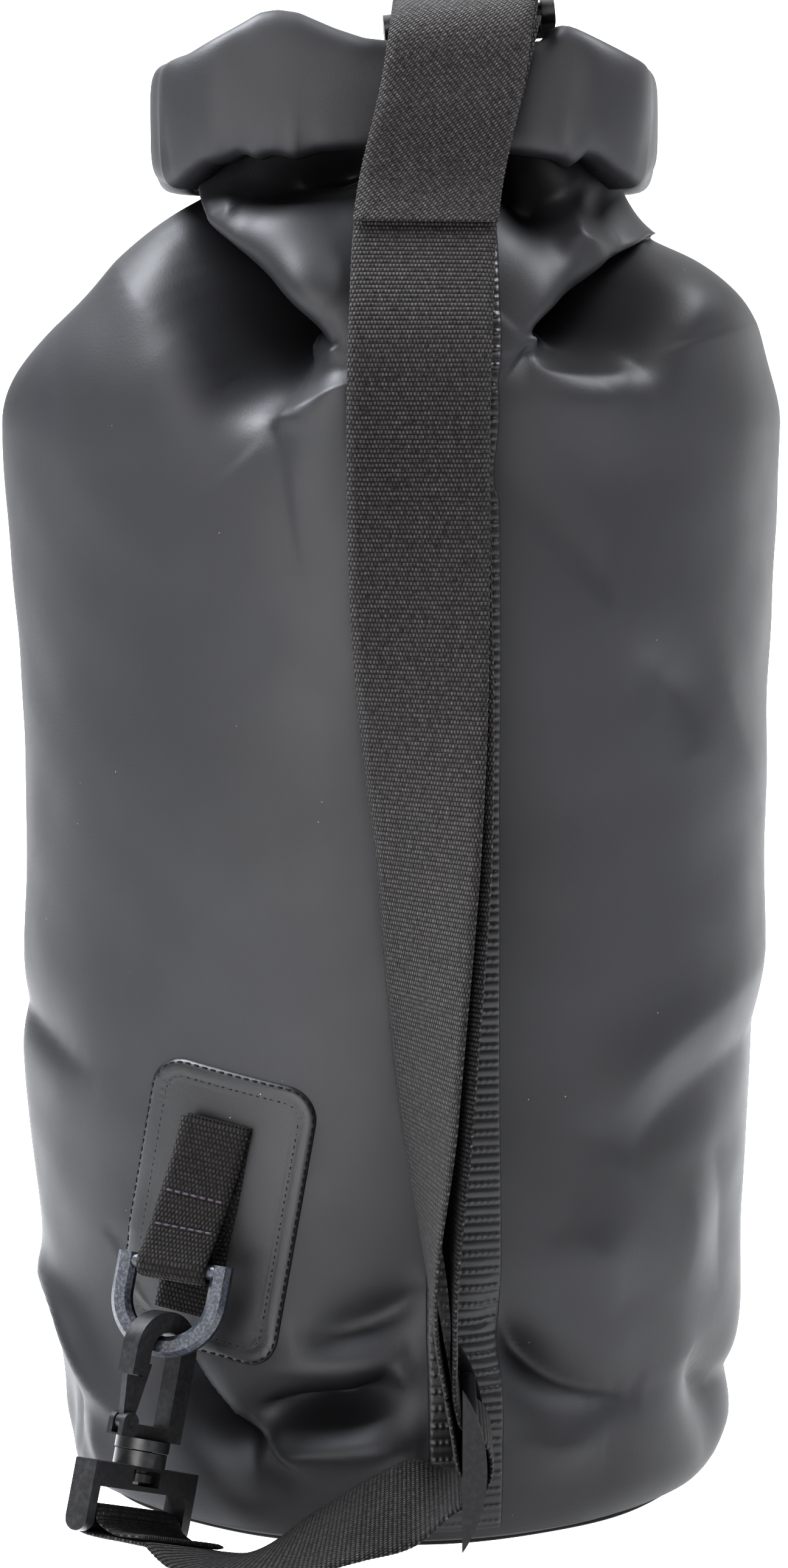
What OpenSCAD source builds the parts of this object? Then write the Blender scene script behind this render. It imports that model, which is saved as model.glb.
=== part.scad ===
// Roll-top dry bag with a clip-on shoulder strap.
// Z is up, the origin is the centre of the base's underside, and the strap lies on the -Y side.

/* [Bag] */
// Radius of the tarpaulin tube when it is laid out as a true circle
tube_r = 100; // [90:1:115]
// Radius of the tube where it meets the base panel
foot_r = 96; // [86:1:98]
// Half the width of the full bag at mid height
belly_half_w = 107; // [101:1:112]
// Half the width of the full bag at the shoulder
shoulder_half_w = 111; // [103:1:120]
// Height of mid height
belly_z = 212; // [180:1:240]
// Height of the shoulder
shoulder_z = 312; // [280:1:330]
// How softly the shoulder is rounded
shoulder_round = 24; // [10:1:30]
// Depth of the two folds under the roll
dart_depth = 13; // [4:0.5:18]
// Reach of each fold to either side of its line
dart_w = 15; // [12:0.5:20]
// Radius of the base panel
base_r = 97.5; // [88:0.5:102]
// Thickness of the base panel and its seam lip
base_t = 2; // [1:0.1:4]

/* [Roll] */
// Height of the roll's middle line above the shoulder
roll_z = 79; // [73:0.5:88]
// Half the width of the ring that the roll is bent into
ring_half_w = 60; // [55:0.5:66]
// Half the depth of that ring
ring_half_d = 58; // [54:0.5:64]
// How square the ring is: 2 is an ellipse
ring_square = 3; // [2:0.1:4]
// Sideways place of the ring's centre
ring_x = 3; // [-6:0.5:8]
// Thickness of one rolled layer
roll_layer_t = 3.9; // [2:0.1:4.2]
// Pitch of the rolled layers
roll_pitch = 4.8; // [4.6:0.1:5.4]
// Turns of the roll
roll_turns = 2; // [1:1:3]
// Half the height of the flat core that the mouth is rolled round
roll_core_h = 8; // [7:0.5:9]
// Thickness of the stiffener strip
stiffener_t = 1.6; // [1:0.1:2.2]
// Width of the stiffener strip
stiffener_w = 14; // [8:0.5:15]

/* [Seam and patch] */
// Width of the welded overlap on the back
seam_w = 20; // [12:0.5:24]
// Sideways place of the overlap's middle
seam_x = 19; // [10:0.5:24]
// Thickness of the overlap
seam_t = 0.8; // [0.5:0.1:1.4]
// Width of the welded patch
patch_w = 46; // [40:1:56]
// Height of the welded patch
patch_h = 78; // [70:1:90]
// Thickness of the patch
patch_t = 1; // [0.6:0.1:1.6]
// Sideways place of the patch's middle
patch_x = -49; // [-56:0.5:-44]
// Height of the patch's middle
patch_z = 93; // [88:0.5:100]
// Lean of the patch
patch_lean = 9; // [0:0.5:14]

/* [Rings and tabs] */
// Width of the tab webbing
tab_w = 20; // [14:0.5:21]
// Thickness of all webbing
web_t = 1.5; // [1:0.1:1.8]
// Width of the opening of a D-ring
ring_inner_w = 22; // [21.5:0.5:26]
// Width of a D-ring's stock, seen from the front
ring_stock = 5.6; // [4:0.1:6]
// Thickness of a D-ring
ring_t = 4.5; // [3.5:0.1:5]
// Length of a D-ring's straight sides
ring_leg = 8; // [7:0.5:12]
// Distance of the lower ring's bar from the bag
ring_standoff = 13; // [11:0.5:16]

/* [Snap hooks] */
// Thickness of a hook's flat body
hook_t = 6; // [4:0.1:6.2]
// Radius of the inside of a hook's bow
bow_r = 5.6; // [5.4:0.1:6]
// Width of a hook's stock
hook_stock = 5.5; // [4:0.1:6.5]
// Length of a hook from the middle of its bow to its collar
hook_len = 23.5; // [22:0.5:32]
// Thickness of a hook's gate
gate_t = 2.6; // [1.8:0.1:3]
// Radius of the gate's pivot
gate_pin_r = 1.2; // [0.8:0.05:1.3]
// Radius of the collar on a swivel
collar_r = 7.4; // [6.5:0.1:8]
// Radius of the swivel's shank
shank_r = 3; // [2.2:0.05:3.2]
// Thickness of a swivel's frame
frame_t = 7; // [6:0.1:9]
// Radius of the bar that carries the strap
strap_bar_r = 2.6; // [2:0.1:3]

/* [Strap] */
// Width of the shoulder strap
strap_w = 38; // [30:0.5:40]
// Height of the slider
slider_h = 43; // [40:0.5:50]
// Bulge of the slider's bowed sides
slider_bow = 6.5; // [5:0.1:8]
// Width of the slider's side walls
slider_wall = 3.4; // [2.5:0.1:4]
// Radius of the slider's bars
slider_bar_r = 2; // [1.8:0.05:2.2]
// Height of the slider's middle above the ground
slider_z = 38; // [34:0.5:60]
// Sideways place of the slider's middle bar
slider_x = 20; // [16:0.5:24]

/* [Buckle] */
// Width of the closure webbing
buckle_web_w = 25; // [18:0.5:25.5]
// Height of the buckle
buckle_h = 32; // [30:0.5:36]
// Length of the buckle's socket
socket_len = 32; // [30:0.5:36]
// Thickness of the buckle's socket
socket_t = 9.5; // [9:0.1:11]
// Length of the plug that stays outside the socket
plug_len = 13; // [12:0.5:16]
// Height of a buckle prong
prong_h = 4.6; // [3.5:0.1:5]

/* [Clearances] */
// Gap between pieces that lie against each other
seat = 0.3; // [0.25:0.05:0.5]
// Radial running clearance of a pivot
run = 0.06; // [0.03:0.01:0.1]

/* [Hidden] */

tarp = [0.24, 0.24, 0.26];
webbing = [0.2, 0.19, 0.19];
plastic = [0.12, 0.12, 0.14];
ring_plastic = [0.2, 0.22, 0.27];

columns = 48;
back = -90;

// Small helpers
function mix(a, b, t) = a + (b - a) * t;
function ease(t) = let (c = min(1, max(0, t))) c * c * (3 - 2 * c);
function unit(v) = v / norm(v);
function bell(d, reach) = exp(-(d / reach) * (d / reach));

// Polar radius of a superellipse
function super_r(a, b, n, angle) =
  pow(pow(abs(cos(angle)) / a, n) + pow(abs(sin(angle)) / b, n), -1 / n);

// Bag cross-sections: the width is set, and the tube's girth gives the depth
foot_z = base_t + seat;
hem_z = foot_z + 12;
function half_w(z) = z < belly_z
  ? mix(foot_r + 2, belly_half_w, sin(90 * min(1, max(0, (z - foot_z) / (belly_z - foot_z)))))
  : mix(belly_half_w, shoulder_half_w, ease((z - belly_z) / (shoulder_z - belly_z)));
function half_d(z) = sqrt(2 * tube_r * tube_r - half_w(z) * half_w(z)) - 2 * (1 - ease(z / 60));
function hem_pull(z) = 2 * (1 - sin(90 * min(1, max(0, (z - foot_z) / (hem_z - foot_z)))));
function wall_r(angle, z) = super_r(half_w(z), half_d(z), 2, angle) - hem_pull(z);

// The ring that the roll follows, open at the front for the buckle
ring_y = 4;
ring_centre = [ring_x, ring_y];
ring_open = 33;
ring_start = 90 - ring_open;
ring_sweep = 360 - 2 * ring_open;
function ring_r(angle) = super_r(ring_half_w, ring_half_d, ring_square, angle);
function ring_pt(angle) = ring_centre + ring_r(angle) * [cos(angle), sin(angle)];
function ring_dir(angle) = unit(ring_pt(angle - 1) - ring_pt(angle + 1));
function ring_out(angle) = let (d = ring_dir(angle)) [-d.y, d.x];

// Height of the roll above and below its middle line: two crests, and ends that droop
roll_mid_z = shoulder_z + roll_z;
roll_d0 = stiffener_t / 2 + seat + 0.6;
roll_d1 = roll_d0 + roll_pitch * roll_turns;
roll_half_h = roll_core_h + roll_d1 + roll_layer_t;
left_crest_x = -34;
right_crest_x = 57;
function at_back(angle) = ease(-sin(angle) * 2);
function roll_up(angle) = let (p = ring_pt(angle)) 0.6
  + at_back(angle) * (0.62 * bell(p.x - left_crest_x, 20) + 0.4 * bell(p.x - right_crest_x, 9));
function roll_down(angle) = 0.95 - 0.4 * at_back(angle);
function roll_low_z(angle) = roll_mid_z - roll_half_h * roll_down(angle);

// Neck: the tube drawn in under the roll, with a scoop below the buckle
neck_gap = 0.5;
scoop = 20;
function neck_z(angle) =
  roll_low_z(angle) - neck_gap - scoop * ease((sin(angle) - cos(ring_open)) / 0.12);
function fold(x, z, top, tip) =
  let (line = tip - top, rel = [x, z] - top)
  let (along = rel * line / (line * line), off = norm(rel - min(1, max(0, along)) * line))
  dart_depth * bell(off, dart_w) * ease((1.15 - along) * 2);
left_fold = [[-56, shoulder_z + 38], [-32, shoulder_z - 2]];
right_fold = [[66, shoulder_z + 42], [38, shoulder_z + 18]];
function folds(p) = p.y > 0 ? 0
  : fold(p.x, p.z, left_fold[0], left_fold[1]) + fold(p.x, p.z, right_fold[0], right_fold[1]);

// A point of the outer wall: s runs 0 to 1 from the shoulder to the neck
function shoulder_pt(angle, s) =
  let (c = ring_centre * ease(s), z = mix(shoulder_z, neck_z(angle), s))
  let (flat = c + full_r(angle, z) * [cos(angle), sin(angle)]) [flat.x, flat.y, z];
function wall_pt(angle, z) = let (r = full_r(angle, z)) [r * cos(angle), r * sin(angle), z];
// The shoulder is a straight cone up to the neck, rounded into the wall
function round_min(a, b, k) = let (h = min(1, max(0, 0.5 + 0.5 * (b - a) / k))) mix(b, a, h) - k * h * (1 - h);
function cone_r(angle, z) =
  mix(wall_r(angle, shoulder_z) + shoulder_round / 4, ring_r(angle), (z - shoulder_z) / (neck_z(angle) - shoulder_z));
function full_r(angle, z) = round_min(wall_r(angle, min(z, shoulder_z)), cone_r(angle, z), shoulder_round);
function folded(p) =
  let (r = norm([p.x, p.y])) [p.x * (1 - folds(p) / r), p.y * (1 - folds(p) / r), p.z];
wall_levels = concat(
  [foot_z, foot_z + 4, hem_z],
  [for (t = [0.1, 0.25, 0.44, 0.64, 0.84, 1]) mix(hem_z, belly_z, t)],
  [for (t = [0.33, 0.66, 0.8, 0.9, 1]) mix(belly_z, shoulder_z, t)]
);
shoulder_steps = [0.07, 0.15, 0.25, 0.38, 0.5, 0.62, 0.74, 0.86, 1];
dish_steps = [0.12, 0.3, 0.5, 0.75];
dish_depth = 26;
function ring_of(f) = [for (i = [0 : columns - 1]) f(360 * i / columns)];
function wall_ring(z) = ring_of(function (a) wall_pt(a, z));
function shoulder_ring(s) = ring_of(function (a) folded(shoulder_pt(a, s)));
function dish_ring(q) = ring_of(function (a)
  let (p = shoulder_pt(a, 1), c = ring_centre)
  [mix(p.x, c.x, q), mix(p.y, c.y, q), p.z - dish_depth * ease(q * 1.2)]);

// The back wall seen from behind: y at a place, and the way out of the wall there
function wall_y(x, z) = -half_d(z) * sqrt(1 - pow(x / half_w(z), 2));
function wall_out(x, z) = unit([x / pow(half_w(z), 2), wall_y(x, z) / pow(half_d(z), 2)]);
function off_wall(x, z, gap) = let (n = wall_out(x, z)) [x + n.x * gap, wall_y(x, z) + n.y * gap, z];

// Faces of a stack of rings, closed by a fan at each end
function band(rows, n) = [for (k = [0 : rows - 2], i = [0 : n - 1])
  let (a = k * n + i, b = k * n + (i + 1) % n) each [[a, a + n, b], [b, a + n, b + n]]];
module ring_stack(rings, first, last) {
  n = len(rings[0]);
  count = len(rings) * n;
  tail = (len(rings) - 1) * n;
  polyhedron(
    [for (r = rings) each r, first, last],
    concat(
      band(len(rings), n),
      [for (i = [0 : n - 1]) [count, i, (i + 1) % n]],
      [for (i = [0 : n - 1]) [count + 1, tail + (i + 1) % n, tail + i]]
    )
  );
}
// A strip of four-sided sections with flat ends
module section_sweep(rings) {
  n = len(rings[0]);
  tail = (len(rings) - 1) * n;
  polyhedron(
    [for (r = rings) each r],
    concat(band(len(rings), n), [[for (i = [0 : n - 1]) i]], [[for (i = [n - 1 : -1 : 0]) tail + i]])
  );
}

module body_tube() {
  outer = concat([for (z = wall_levels) wall_ring(z)], [for (s = shoulder_steps) shoulder_ring(s)]);
  inner = [for (q = dish_steps) dish_ring(q)];
  centre_z = roll_low_z(0) - neck_gap - dish_depth;
  color(tarp) ring_stack(concat(outer, inner), [0, 0, foot_z], [ring_x, ring_y, centre_z]);
}

// One section of the roll: a flattened spiral of tarpaulin
spiral_step = 22.5;
spiral_end = 360 * roll_turns;
spiral_turns = [for (t = [0 : spiral_step : spiral_end]) t];
function spiral_pt(t, extra) =
  let (d = roll_d0 + extra + roll_pitch * t / 360) [d * sin(t), -(roll_core_h + d) * cos(t)];
roll_section = concat(
  [for (t = spiral_turns) spiral_pt(t, roll_layer_t)],
  [for (i = [len(spiral_turns) - 1 : -1 : 0]) spiral_pt(spiral_turns[i], 0)]
);
roll_rings = 34;
function roll_ring(k) =
  let (angle = ring_start - ring_sweep * k / roll_rings, p = ring_pt(angle), n = ring_out(angle))
  [for (q = roll_section) let (h = q.y > 0 ? q.y * roll_up(angle) : q.y * roll_down(angle))
    [p.x + n.x * q.x, p.y + n.y * q.x, roll_mid_z + h]];
// End faces of the roll, one four-sided piece for each step of the spiral
module rolled_top() {
  n = len(roll_section);
  half = n / 2;
  tail = roll_rings * n;
  color(tarp) polyhedron(
    [for (k = [0 : roll_rings]) each roll_ring(k)],
    concat(
      band(roll_rings + 1, n),
      [for (i = [0 : half - 2]) each [[i, i + 1, n - 1 - i], [i + 1, n - 2 - i, n - 1 - i]]],
      [for (i = [0 : half - 2]) each
        [[tail + i, tail + n - 1 - i, tail + i + 1], [tail + i + 1, tail + n - 1 - i, tail + n - 2 - i]]]
    )
  );
}

module mouth_stiffener() {
  color(plastic) section_sweep([for (k = [0 : roll_rings])
    let (angle = ring_start - ring_sweep * k / roll_rings, p = ring_pt(angle), n = ring_out(angle))
    [for (q = [[-1, -1], [1, -1], [1, 1], [-1, 1]])
      let (h = q.y * stiffener_w / 2 * (q.y > 0 ? min(1, roll_up(angle)) : min(1, roll_down(angle))))
      [p.x + n.x * q.x * stiffener_t / 2, p.y + n.y * q.x * stiffener_t / 2, roll_mid_z + h]]]);
}

module base_panel() {
  color(tarp) cylinder(r = base_r, h = base_t, $fn = 120);
}

// The overlap follows the wall from the hem up to the neck
seam_gap = seat + 0.3;
seam_middle = back + asin(seam_x / tube_r);
function seam_angle(r, side) = seam_middle + side * seam_w / 2 / r * 180 / PI;
function lifted(p, gap) = let (r = norm([p.x, p.y])) [p.x * (1 + gap / r), p.y * (1 + gap / r), p.z];
function seam_row(at) =
  let (p = at(seam_middle), r = norm([p.x, p.y]))
  let (right = at(seam_angle(r, 1)), left = at(seam_angle(r, -1)))
  concat([for (q = [right, p, left]) lifted(q, seam_gap)], [for (q = [left, p, right]) lifted(q, seam_gap + seam_t)]);
module back_seam_strip() {
  rows = concat(
    [for (k = [1 : len(wall_levels) - 1]) seam_row(function (a) wall_pt(a, wall_levels[k]))],
    [for (k = [0 : len(shoulder_steps) - 3]) seam_row(function (a) folded(shoulder_pt(a, shoulder_steps[k])))]
  );
  color(tarp) section_sweep(rows);
}

patch_sides = 40;
patch_gap = seat + 0.2;
function patch_pt(angle, share, gap) =
  let (r = share * super_r(patch_w / 2, patch_h / 2, 5, angle), u = r * cos(angle), v = r * sin(angle))
  off_wall(patch_x + u * cos(patch_lean) + v * sin(patch_lean),
    patch_z - u * sin(patch_lean) + v * cos(patch_lean), gap);
module reinforcement_patch() {
  inside = [for (share = [0.25, 0.5, 0.75, 1]) [share, patch_gap]];
  outside = [for (share = [1, 0.75, 0.5, 0.25]) [share, patch_gap + patch_t]];
  color(tarp) ring_stack(
    [for (s = concat(inside, outside))
      [for (i = [0 : patch_sides - 1]) patch_pt(360 * i / patch_sides, s[0], s[1])]],
    patch_pt(0, 0, patch_gap), patch_pt(0, 0, patch_gap + patch_t)
  );
}

// D-ring with its bar along X, hanging down from the origin; its stock has chamfered edges
ring_r_in = ring_inner_w / 2;
ring_r_mid = ring_r_in + ring_stock / 2;
ring_bar_r = ring_t / 2 - 0.15;
ring_chamfer = 1.3;
ring_wire_z = -(ring_leg + ring_r_mid);
module stock_section() {
  a = ring_stock / 2;
  b = ring_t / 2;
  c = ring_chamfer;
  polygon([[-a, c - b], [c - a, -b], [a - c, -b], [a, c - b], [a, b - c], [a - c, b], [c - a, b], [-a, b - c]]);
}
module d_ring() {
  translate([0, 0, -ring_leg]) rotate([90, 0, 0]) rotate([0, 0, 180])
    rotate_extrude(angle = 180, $fn = 96) translate([ring_r_mid, 0]) stock_section();
  for (side = [-1, 1])
    translate([side * ring_r_mid, 0, -ring_leg]) linear_extrude(ring_leg + ring_bar_r) stock_section();
  rotate([0, 90, 0])
    cylinder(r = ring_bar_r, h = 2 * ring_r_mid, center = true, $fn = 48);
}

// Webbing folded round a D-ring's bar: a loop, and a double tail from it along +Z, leaning in Y
tab_in = ring_bar_r + seat;
tab_out = tab_in + web_t;
module tab_fold(tail, lean) {
  rotate([0, 90, 0])
    linear_extrude(tab_w, center = true)
      difference() {
        union() {
          circle(tab_out, $fn = 64);
          rotate(lean) translate([-tail, -web_t - 0.1]) square([tail, 2 * web_t + 0.2]);
        }
        circle(tab_in, $fn = 64);
      }
}

// Lower anchor: the ring's bar stands off the wall below the patch's middle
lower_bar = off_wall(patch_x - 4, patch_z - 13, ring_standoff);
anchor_turn = -20;
anchor_roll = 4;
lower_lean = -19;
tab_tail = 24;
tab_lean = -23;
module at_lower_tab() { translate(lower_bar) rotate([0, anchor_roll, anchor_turn]) children(); }
module at_lower() { at_lower_tab() rotate([lower_lean, 0, 0]) children(); }

// Upper anchor: a ring behind the buckle, with its hook lying back across the hollow of the roll
upper_bar = [ring_x + 17.5, ring_y + 20, roll_mid_z + 11.5];
upper_pitch = -101;
module at_upper() { translate(upper_bar) rotate([upper_pitch, 0, 0]) children(); }

// The upright part of the tab lies on the patch, below its top
tab_top_z = patch_z + patch_h / 3;
tab_foot_z = patch_z - patch_h * 0.31;
module tab_webbing() {
  color(webbing) {
    at_lower_tab() tab_fold(tab_tail, tab_lean);
    tab_plate();
  }
}
// Sewn part of the tab: a strip that follows the patch
function tab_row(z) =
  let (x = patch_x + (z - patch_z) * sin(patch_lean) * 0.6, bow = tab_w * tab_w / tube_r / 8)
  let (gap = patch_gap + patch_t + seat + bow)
  [off_wall(x + tab_w / 2, z, gap), off_wall(x - tab_w / 2, z, gap),
    off_wall(x - tab_w / 2, z, gap + 2 * web_t), off_wall(x + tab_w / 2, z, gap + 2 * web_t)];
module tab_plate() {
  section_sweep([for (k = [0 : 5]) tab_row(mix(tab_foot_z, tab_top_z, k / 5))]);
}

// Snap hook in its own frame: the ring's wire along X at the origin of the bow, shank down
bow_out = bow_r + hook_stock;
hang = 1.3;
bow_z = ring_wire_z + ring_stock / 2 + hang - bow_r;
collar_z = bow_z - hook_len;
collar_h = 3;
boss_h = 4;
rail_h = 6.5;
frame_gap = 0.3;
boss_top = collar_z - collar_h - frame_gap;
rail_top = boss_top - boss_h;
rail_foot = rail_top - rail_h;
slot_h = 4.2;
slot_w = 12;
slot_z = rail_top - 0.9 - slot_h / 2;
head_h = 2.2;
head_r = shank_r + 1.2;
strap_slot_w = strap_w + 1.5;
leg_w = 3.6;
strap_bar_z = rail_foot - 9;
nib_drop = 7;
gate_pivot = [-(bow_r + hook_stock / 2), collar_z + 3.6];
gate_tip_z = bow_z - nib_drop + 3.4;
gate_face = -(bow_r - seat);
module hook_plate() {
  difference() {
    union() {
      intersection() {
        translate([0, bow_z]) circle(bow_out, $fn = 96);
        translate([-bow_out, bow_z]) square(2 * bow_out);
      }
      translate([bow_r, collar_z]) square([hook_stock, bow_z - collar_z]);
      translate([-bow_out, bow_z - nib_drop]) square([hook_stock, nib_drop]);
      translate([-bow_out, collar_z]) square([2 * bow_out, 3.6]);
      translate(gate_pivot) circle(hook_stock / 2, $fn = 48);
    }
    translate([0, bow_z]) circle(bow_r, $fn = 96);
    translate([-bow_r, bow_z - nib_drop - 0.01]) square([2 * bow_r, nib_drop]);
    translate(gate_pivot) circle(gate_pin_r + run, $fn = 48);
  }
}
// The gate sits between two cheeks at its pivot
gate_slot = 2.4;
cheek = (hook_t - gate_slot) / 2;
module hook_body() {
  color(plastic) {
    difference() {
      rotate([90, 0, 0]) linear_extrude(hook_t, center = true) hook_plate();
      translate([gate_pivot.x - hook_stock, -hook_t / 2 + cheek, gate_pivot.y - hook_stock / 2 - 0.3])
        cube([2 * hook_stock - 0.5, gate_slot, hook_stock + 2]);
    }
    translate([0, 0, collar_z - collar_h]) cylinder(r = collar_r, h = collar_h, $fn = 72);
    translate([0, 0, slot_z]) cylinder(r = shank_r, h = collar_z - slot_z, $fn = 48);
    translate([0, 0, slot_z - head_h / 2]) cylinder(r = head_r, h = head_h, $fn = 48);
  }
}
gate_play = 0.2;
gate_knuckle_r = hook_stock / 2 - 0.4;
module hook_gate() {
  width = gate_slot - 2 * gate_play;
  color(plastic) {
    rotate([90, 0, 0]) linear_extrude(width, center = true) {
      translate(gate_pivot) circle(gate_knuckle_r, $fn = 48);
      polygon([
        [gate_pivot.x - gate_t / 2, gate_pivot.y], [gate_pivot.x + gate_knuckle_r, gate_pivot.y],
        [gate_face + gate_t, gate_tip_z], [gate_face, gate_tip_z],
        [gate_face, bow_z - nib_drop - seat], [-bow_out, bow_z - nib_drop - seat]
      ]);
    }
    translate([gate_pivot.x, 0, gate_pivot.y]) rotate([90, 0, 0])
      cylinder(r = gate_pin_r, h = hook_t - 0.4, center = true, $fn = 48);
  }
}

// Swivel frame: a boss and rail for the shank, two legs and the strap's bar along X
module swivel_base() {
  half = strap_slot_w / 2 + leg_w;
  color(plastic) difference() {
    union() {
      translate([0, 0, rail_top]) cylinder(r = collar_r - 0.3, h = boss_h, $fn = 72);
      translate([-half, -frame_t / 2, rail_foot]) cube([2 * half, frame_t, rail_h]);
      for (side = [-1, 1])
        translate([side * (half - leg_w / 2), 0, 0]) rotate([0, 90, 0]) rotate([0, 0, 90])
          linear_extrude(leg_w, center = true) leg_outline();
      translate([0, 0, strap_bar_z]) rotate([0, 90, 0])
        cylinder(r = strap_bar_r, h = 2 * half - leg_w, center = true, $fn = 48);
    }
    cylinder_down(shank_r + run, slot_z, boss_top + 1);
    translate([-slot_w / 2, -frame_t, slot_z - slot_h / 2]) cube([slot_w, 2 * frame_t, slot_h]);
  }
}
// A leg, seen along the bar: as thick as the frame, rounded round the bar
module leg_outline() {
  translate([0, strap_bar_z]) circle(frame_t / 2, $fn = 48);
  translate([-frame_t / 2, strap_bar_z]) square([frame_t, rail_foot - strap_bar_z + 1]);
}
module cylinder_down(r, from, to) {
  translate([0, 0, from]) cylinder(r = r, h = to - from, $fn = 48);
}

// Sewn loop of strap round a bar along X, with a double tail along -Z
loop_in_r = strap_bar_r + seat;
loop_out_r = loop_in_r + web_t;
module bar_loop(tail) {
  rotate([0, 90, 0])
    linear_extrude(strap_w, center = true)
      difference() {
        union() {
          circle(loop_out_r, $fn = 64);
          translate([0, loop_out_r - 2 * web_t - 0.2]) square([tail, 2 * web_t + 0.2]);
        }
        circle(loop_in_r, $fn = 64);
      }
}

hook_turn = 65;
base_turn = 75;
end_tail = 20;
module lower_d_ring() { color(ring_plastic) at_lower() d_ring(); }
module lower_hook_body() { at_lower() rotate([0, 0, hook_turn]) hook_body(); }
module lower_hook_gate() { at_lower() rotate([0, 0, hook_turn]) hook_gate(); }
module lower_swivel_base() { at_lower() rotate([0, 0, base_turn]) swivel_base(); }
module strap_end_loop() {
  color(webbing) at_lower() rotate([0, 0, base_turn]) translate([0, 0, strap_bar_z])
    rotate([-90, 0, 0]) bar_loop(end_tail);
}

upper_hook_turn = 90;
upper_base_turn = -6;
top_tail = 9;
module upper_d_ring() { color(ring_plastic) at_upper() d_ring(); }
module upper_hook_body() { at_upper() rotate([0, 0, upper_hook_turn]) hook_body(); }
module upper_hook_gate() { at_upper() rotate([0, 0, upper_hook_turn]) hook_gate(); }
module upper_swivel_base() { at_upper() rotate([0, 0, upper_base_turn]) swivel_base(); }
module strap_top_loop() {
  color(webbing) at_upper() rotate([0, 0, upper_base_turn]) translate([0, 0, strap_bar_z])
    rotate([0, 90, 0]) linear_extrude(strap_w, center = true) difference() {
      union() {
        circle(loop_out_r, $fn = 64);
        translate([0, loop_in_r]) square([top_tail, web_t]);
        translate([0, -loop_out_r]) square([top_tail, web_t]);
      }
      circle(loop_in_r, $fn = 64);
    }
}
upper_tab_tail = 24;
module upper_tab_webbing() {
  color(webbing) translate(upper_bar) rotate([-88, 0, 0]) tab_fold(upper_tab_tail, 0);
}

// Webbing ribbon through stations of [place, width direction], rounded between them
ribbon_cuts = 8;
function gap_after(list, i) = norm(list[i + 1][0] - list[i][0]);
function rate(list, i, f) = (list[i + 1][f] - list[i][f]) / gap_after(list, i);
function slope(list, i, f) =
  i == 0 ? rate(list, 0, f)
  : i == len(list) - 1 ? rate(list, i - 1, f)
  : let (a = gap_after(list, i - 1), b = gap_after(list, i))
    (rate(list, i, f) * a + rate(list, i - 1, f) * b) / (a + b);
function curve(a, b, u, v, t) =
  a + (b - a) * t * t * (3 - 2 * t) + u * t * (1 - t) * (1 - t) - v * t * t * (1 - t);
function along(list, k, f) =
  let (i = min(len(list) - 2, floor(k / ribbon_cuts)), t = k / ribbon_cuts - i, d = gap_after(list, i))
  curve(list[i][f], list[i + 1][f], slope(list, i, f) * d, slope(list, i + 1, f) * d, t);
module ribbon(list, w) {
  last = (len(list) - 1) * ribbon_cuts;
  section_sweep([for (k = [0 : last])
    let (p = along(list, k, 0), side = unit(along(list, k, 1)) * w / 2)
    let (run_dir = along(list, min(last, k + 1), 0) - along(list, max(0, k - 1), 0))
    let (up = unit(cross(run_dir, side)) * web_t / 2)
    [p - side - up, p + side - up, p + side + up, p - side + up]]);
}

// Strap places: the layers turn edge-on to the wall on their way down to the slider
slider_reach = strap_w / 2 + 0.8;
slider_y = wall_y(slider_x, slider_z) - 2.2 - slider_reach - slider_wall;
strap_gap = 2;
function edge_dir(turn) = [cos(turn), -sin(turn), 0];
function strap_station(x, z, turn, lift) =
  let (near = wall_y(x - strap_w / 2 * cos(turn), z) - strap_gap)
  [[x - lift * sin(turn), near - strap_w / 2 * sin(turn) - lift * cos(turn), z], edge_dir(turn)];
roll_back_y = ring_y - ring_half_d - roll_d1 - roll_layer_t;
function pitched(v, a) = [v.x, v.y * cos(a) - v.z * sin(a), v.y * sin(a) + v.z * cos(a)];
function turned(v, a) = [v.x * cos(a) - v.y * sin(a), v.x * sin(a) + v.y * cos(a), v.z];
function upper_dir(v) = pitched(turned(v, upper_base_turn), upper_pitch);
run_gap = seat + 0.6;
top_rise = loop_in_r + web_t / 2;
top_dir = upper_dir([1, 0, 0]);
function top_place(side) = upper_bar + upper_dir([0, -side * top_rise, strap_bar_z - top_tail - run_gap]);
function over_roll(side, lift) = let (p = top_place(side)) [
  [p, top_dir],
  [[p.x - 1, roll_back_y + 3 - lift, p.z - 5 - 2 * side], top_dir],
  [[p.x - 5, roll_back_y - 1.5 - lift, roll_mid_z + 4], [cos(3), 0, sin(3)]],
  [[ring_x + 7, roll_back_y - 3 - lift, roll_mid_z - 19], [1, 0, 0]]
];
near_lift = 3;
far_lift = 4.5;
slider_mid = [slider_x, slider_y, slider_z];
loop_r = slider_bar_r + seat + web_t;
loop_tail = 18;
loop_lean = 10;
tail_ease = 0.1;
end_bar_z = 13;
function at_slider(x, z) = [slider_mid + [x, 0, z], edge_dir(90)];
function on_tail(z) = at_slider(-(loop_r - web_t / 2) * cos(loop_lean) - z * sin(loop_lean), z * cos(loop_lean));
weave_r = slider_bar_r + web_t / 2 + 0.5;
weave_z = end_bar_z - weave_r;
swing_x = loop_r + web_t / 2 + 0.9;
front_foot = [on_tail(loop_tail + 14), on_tail(loop_tail + run_gap)];
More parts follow.
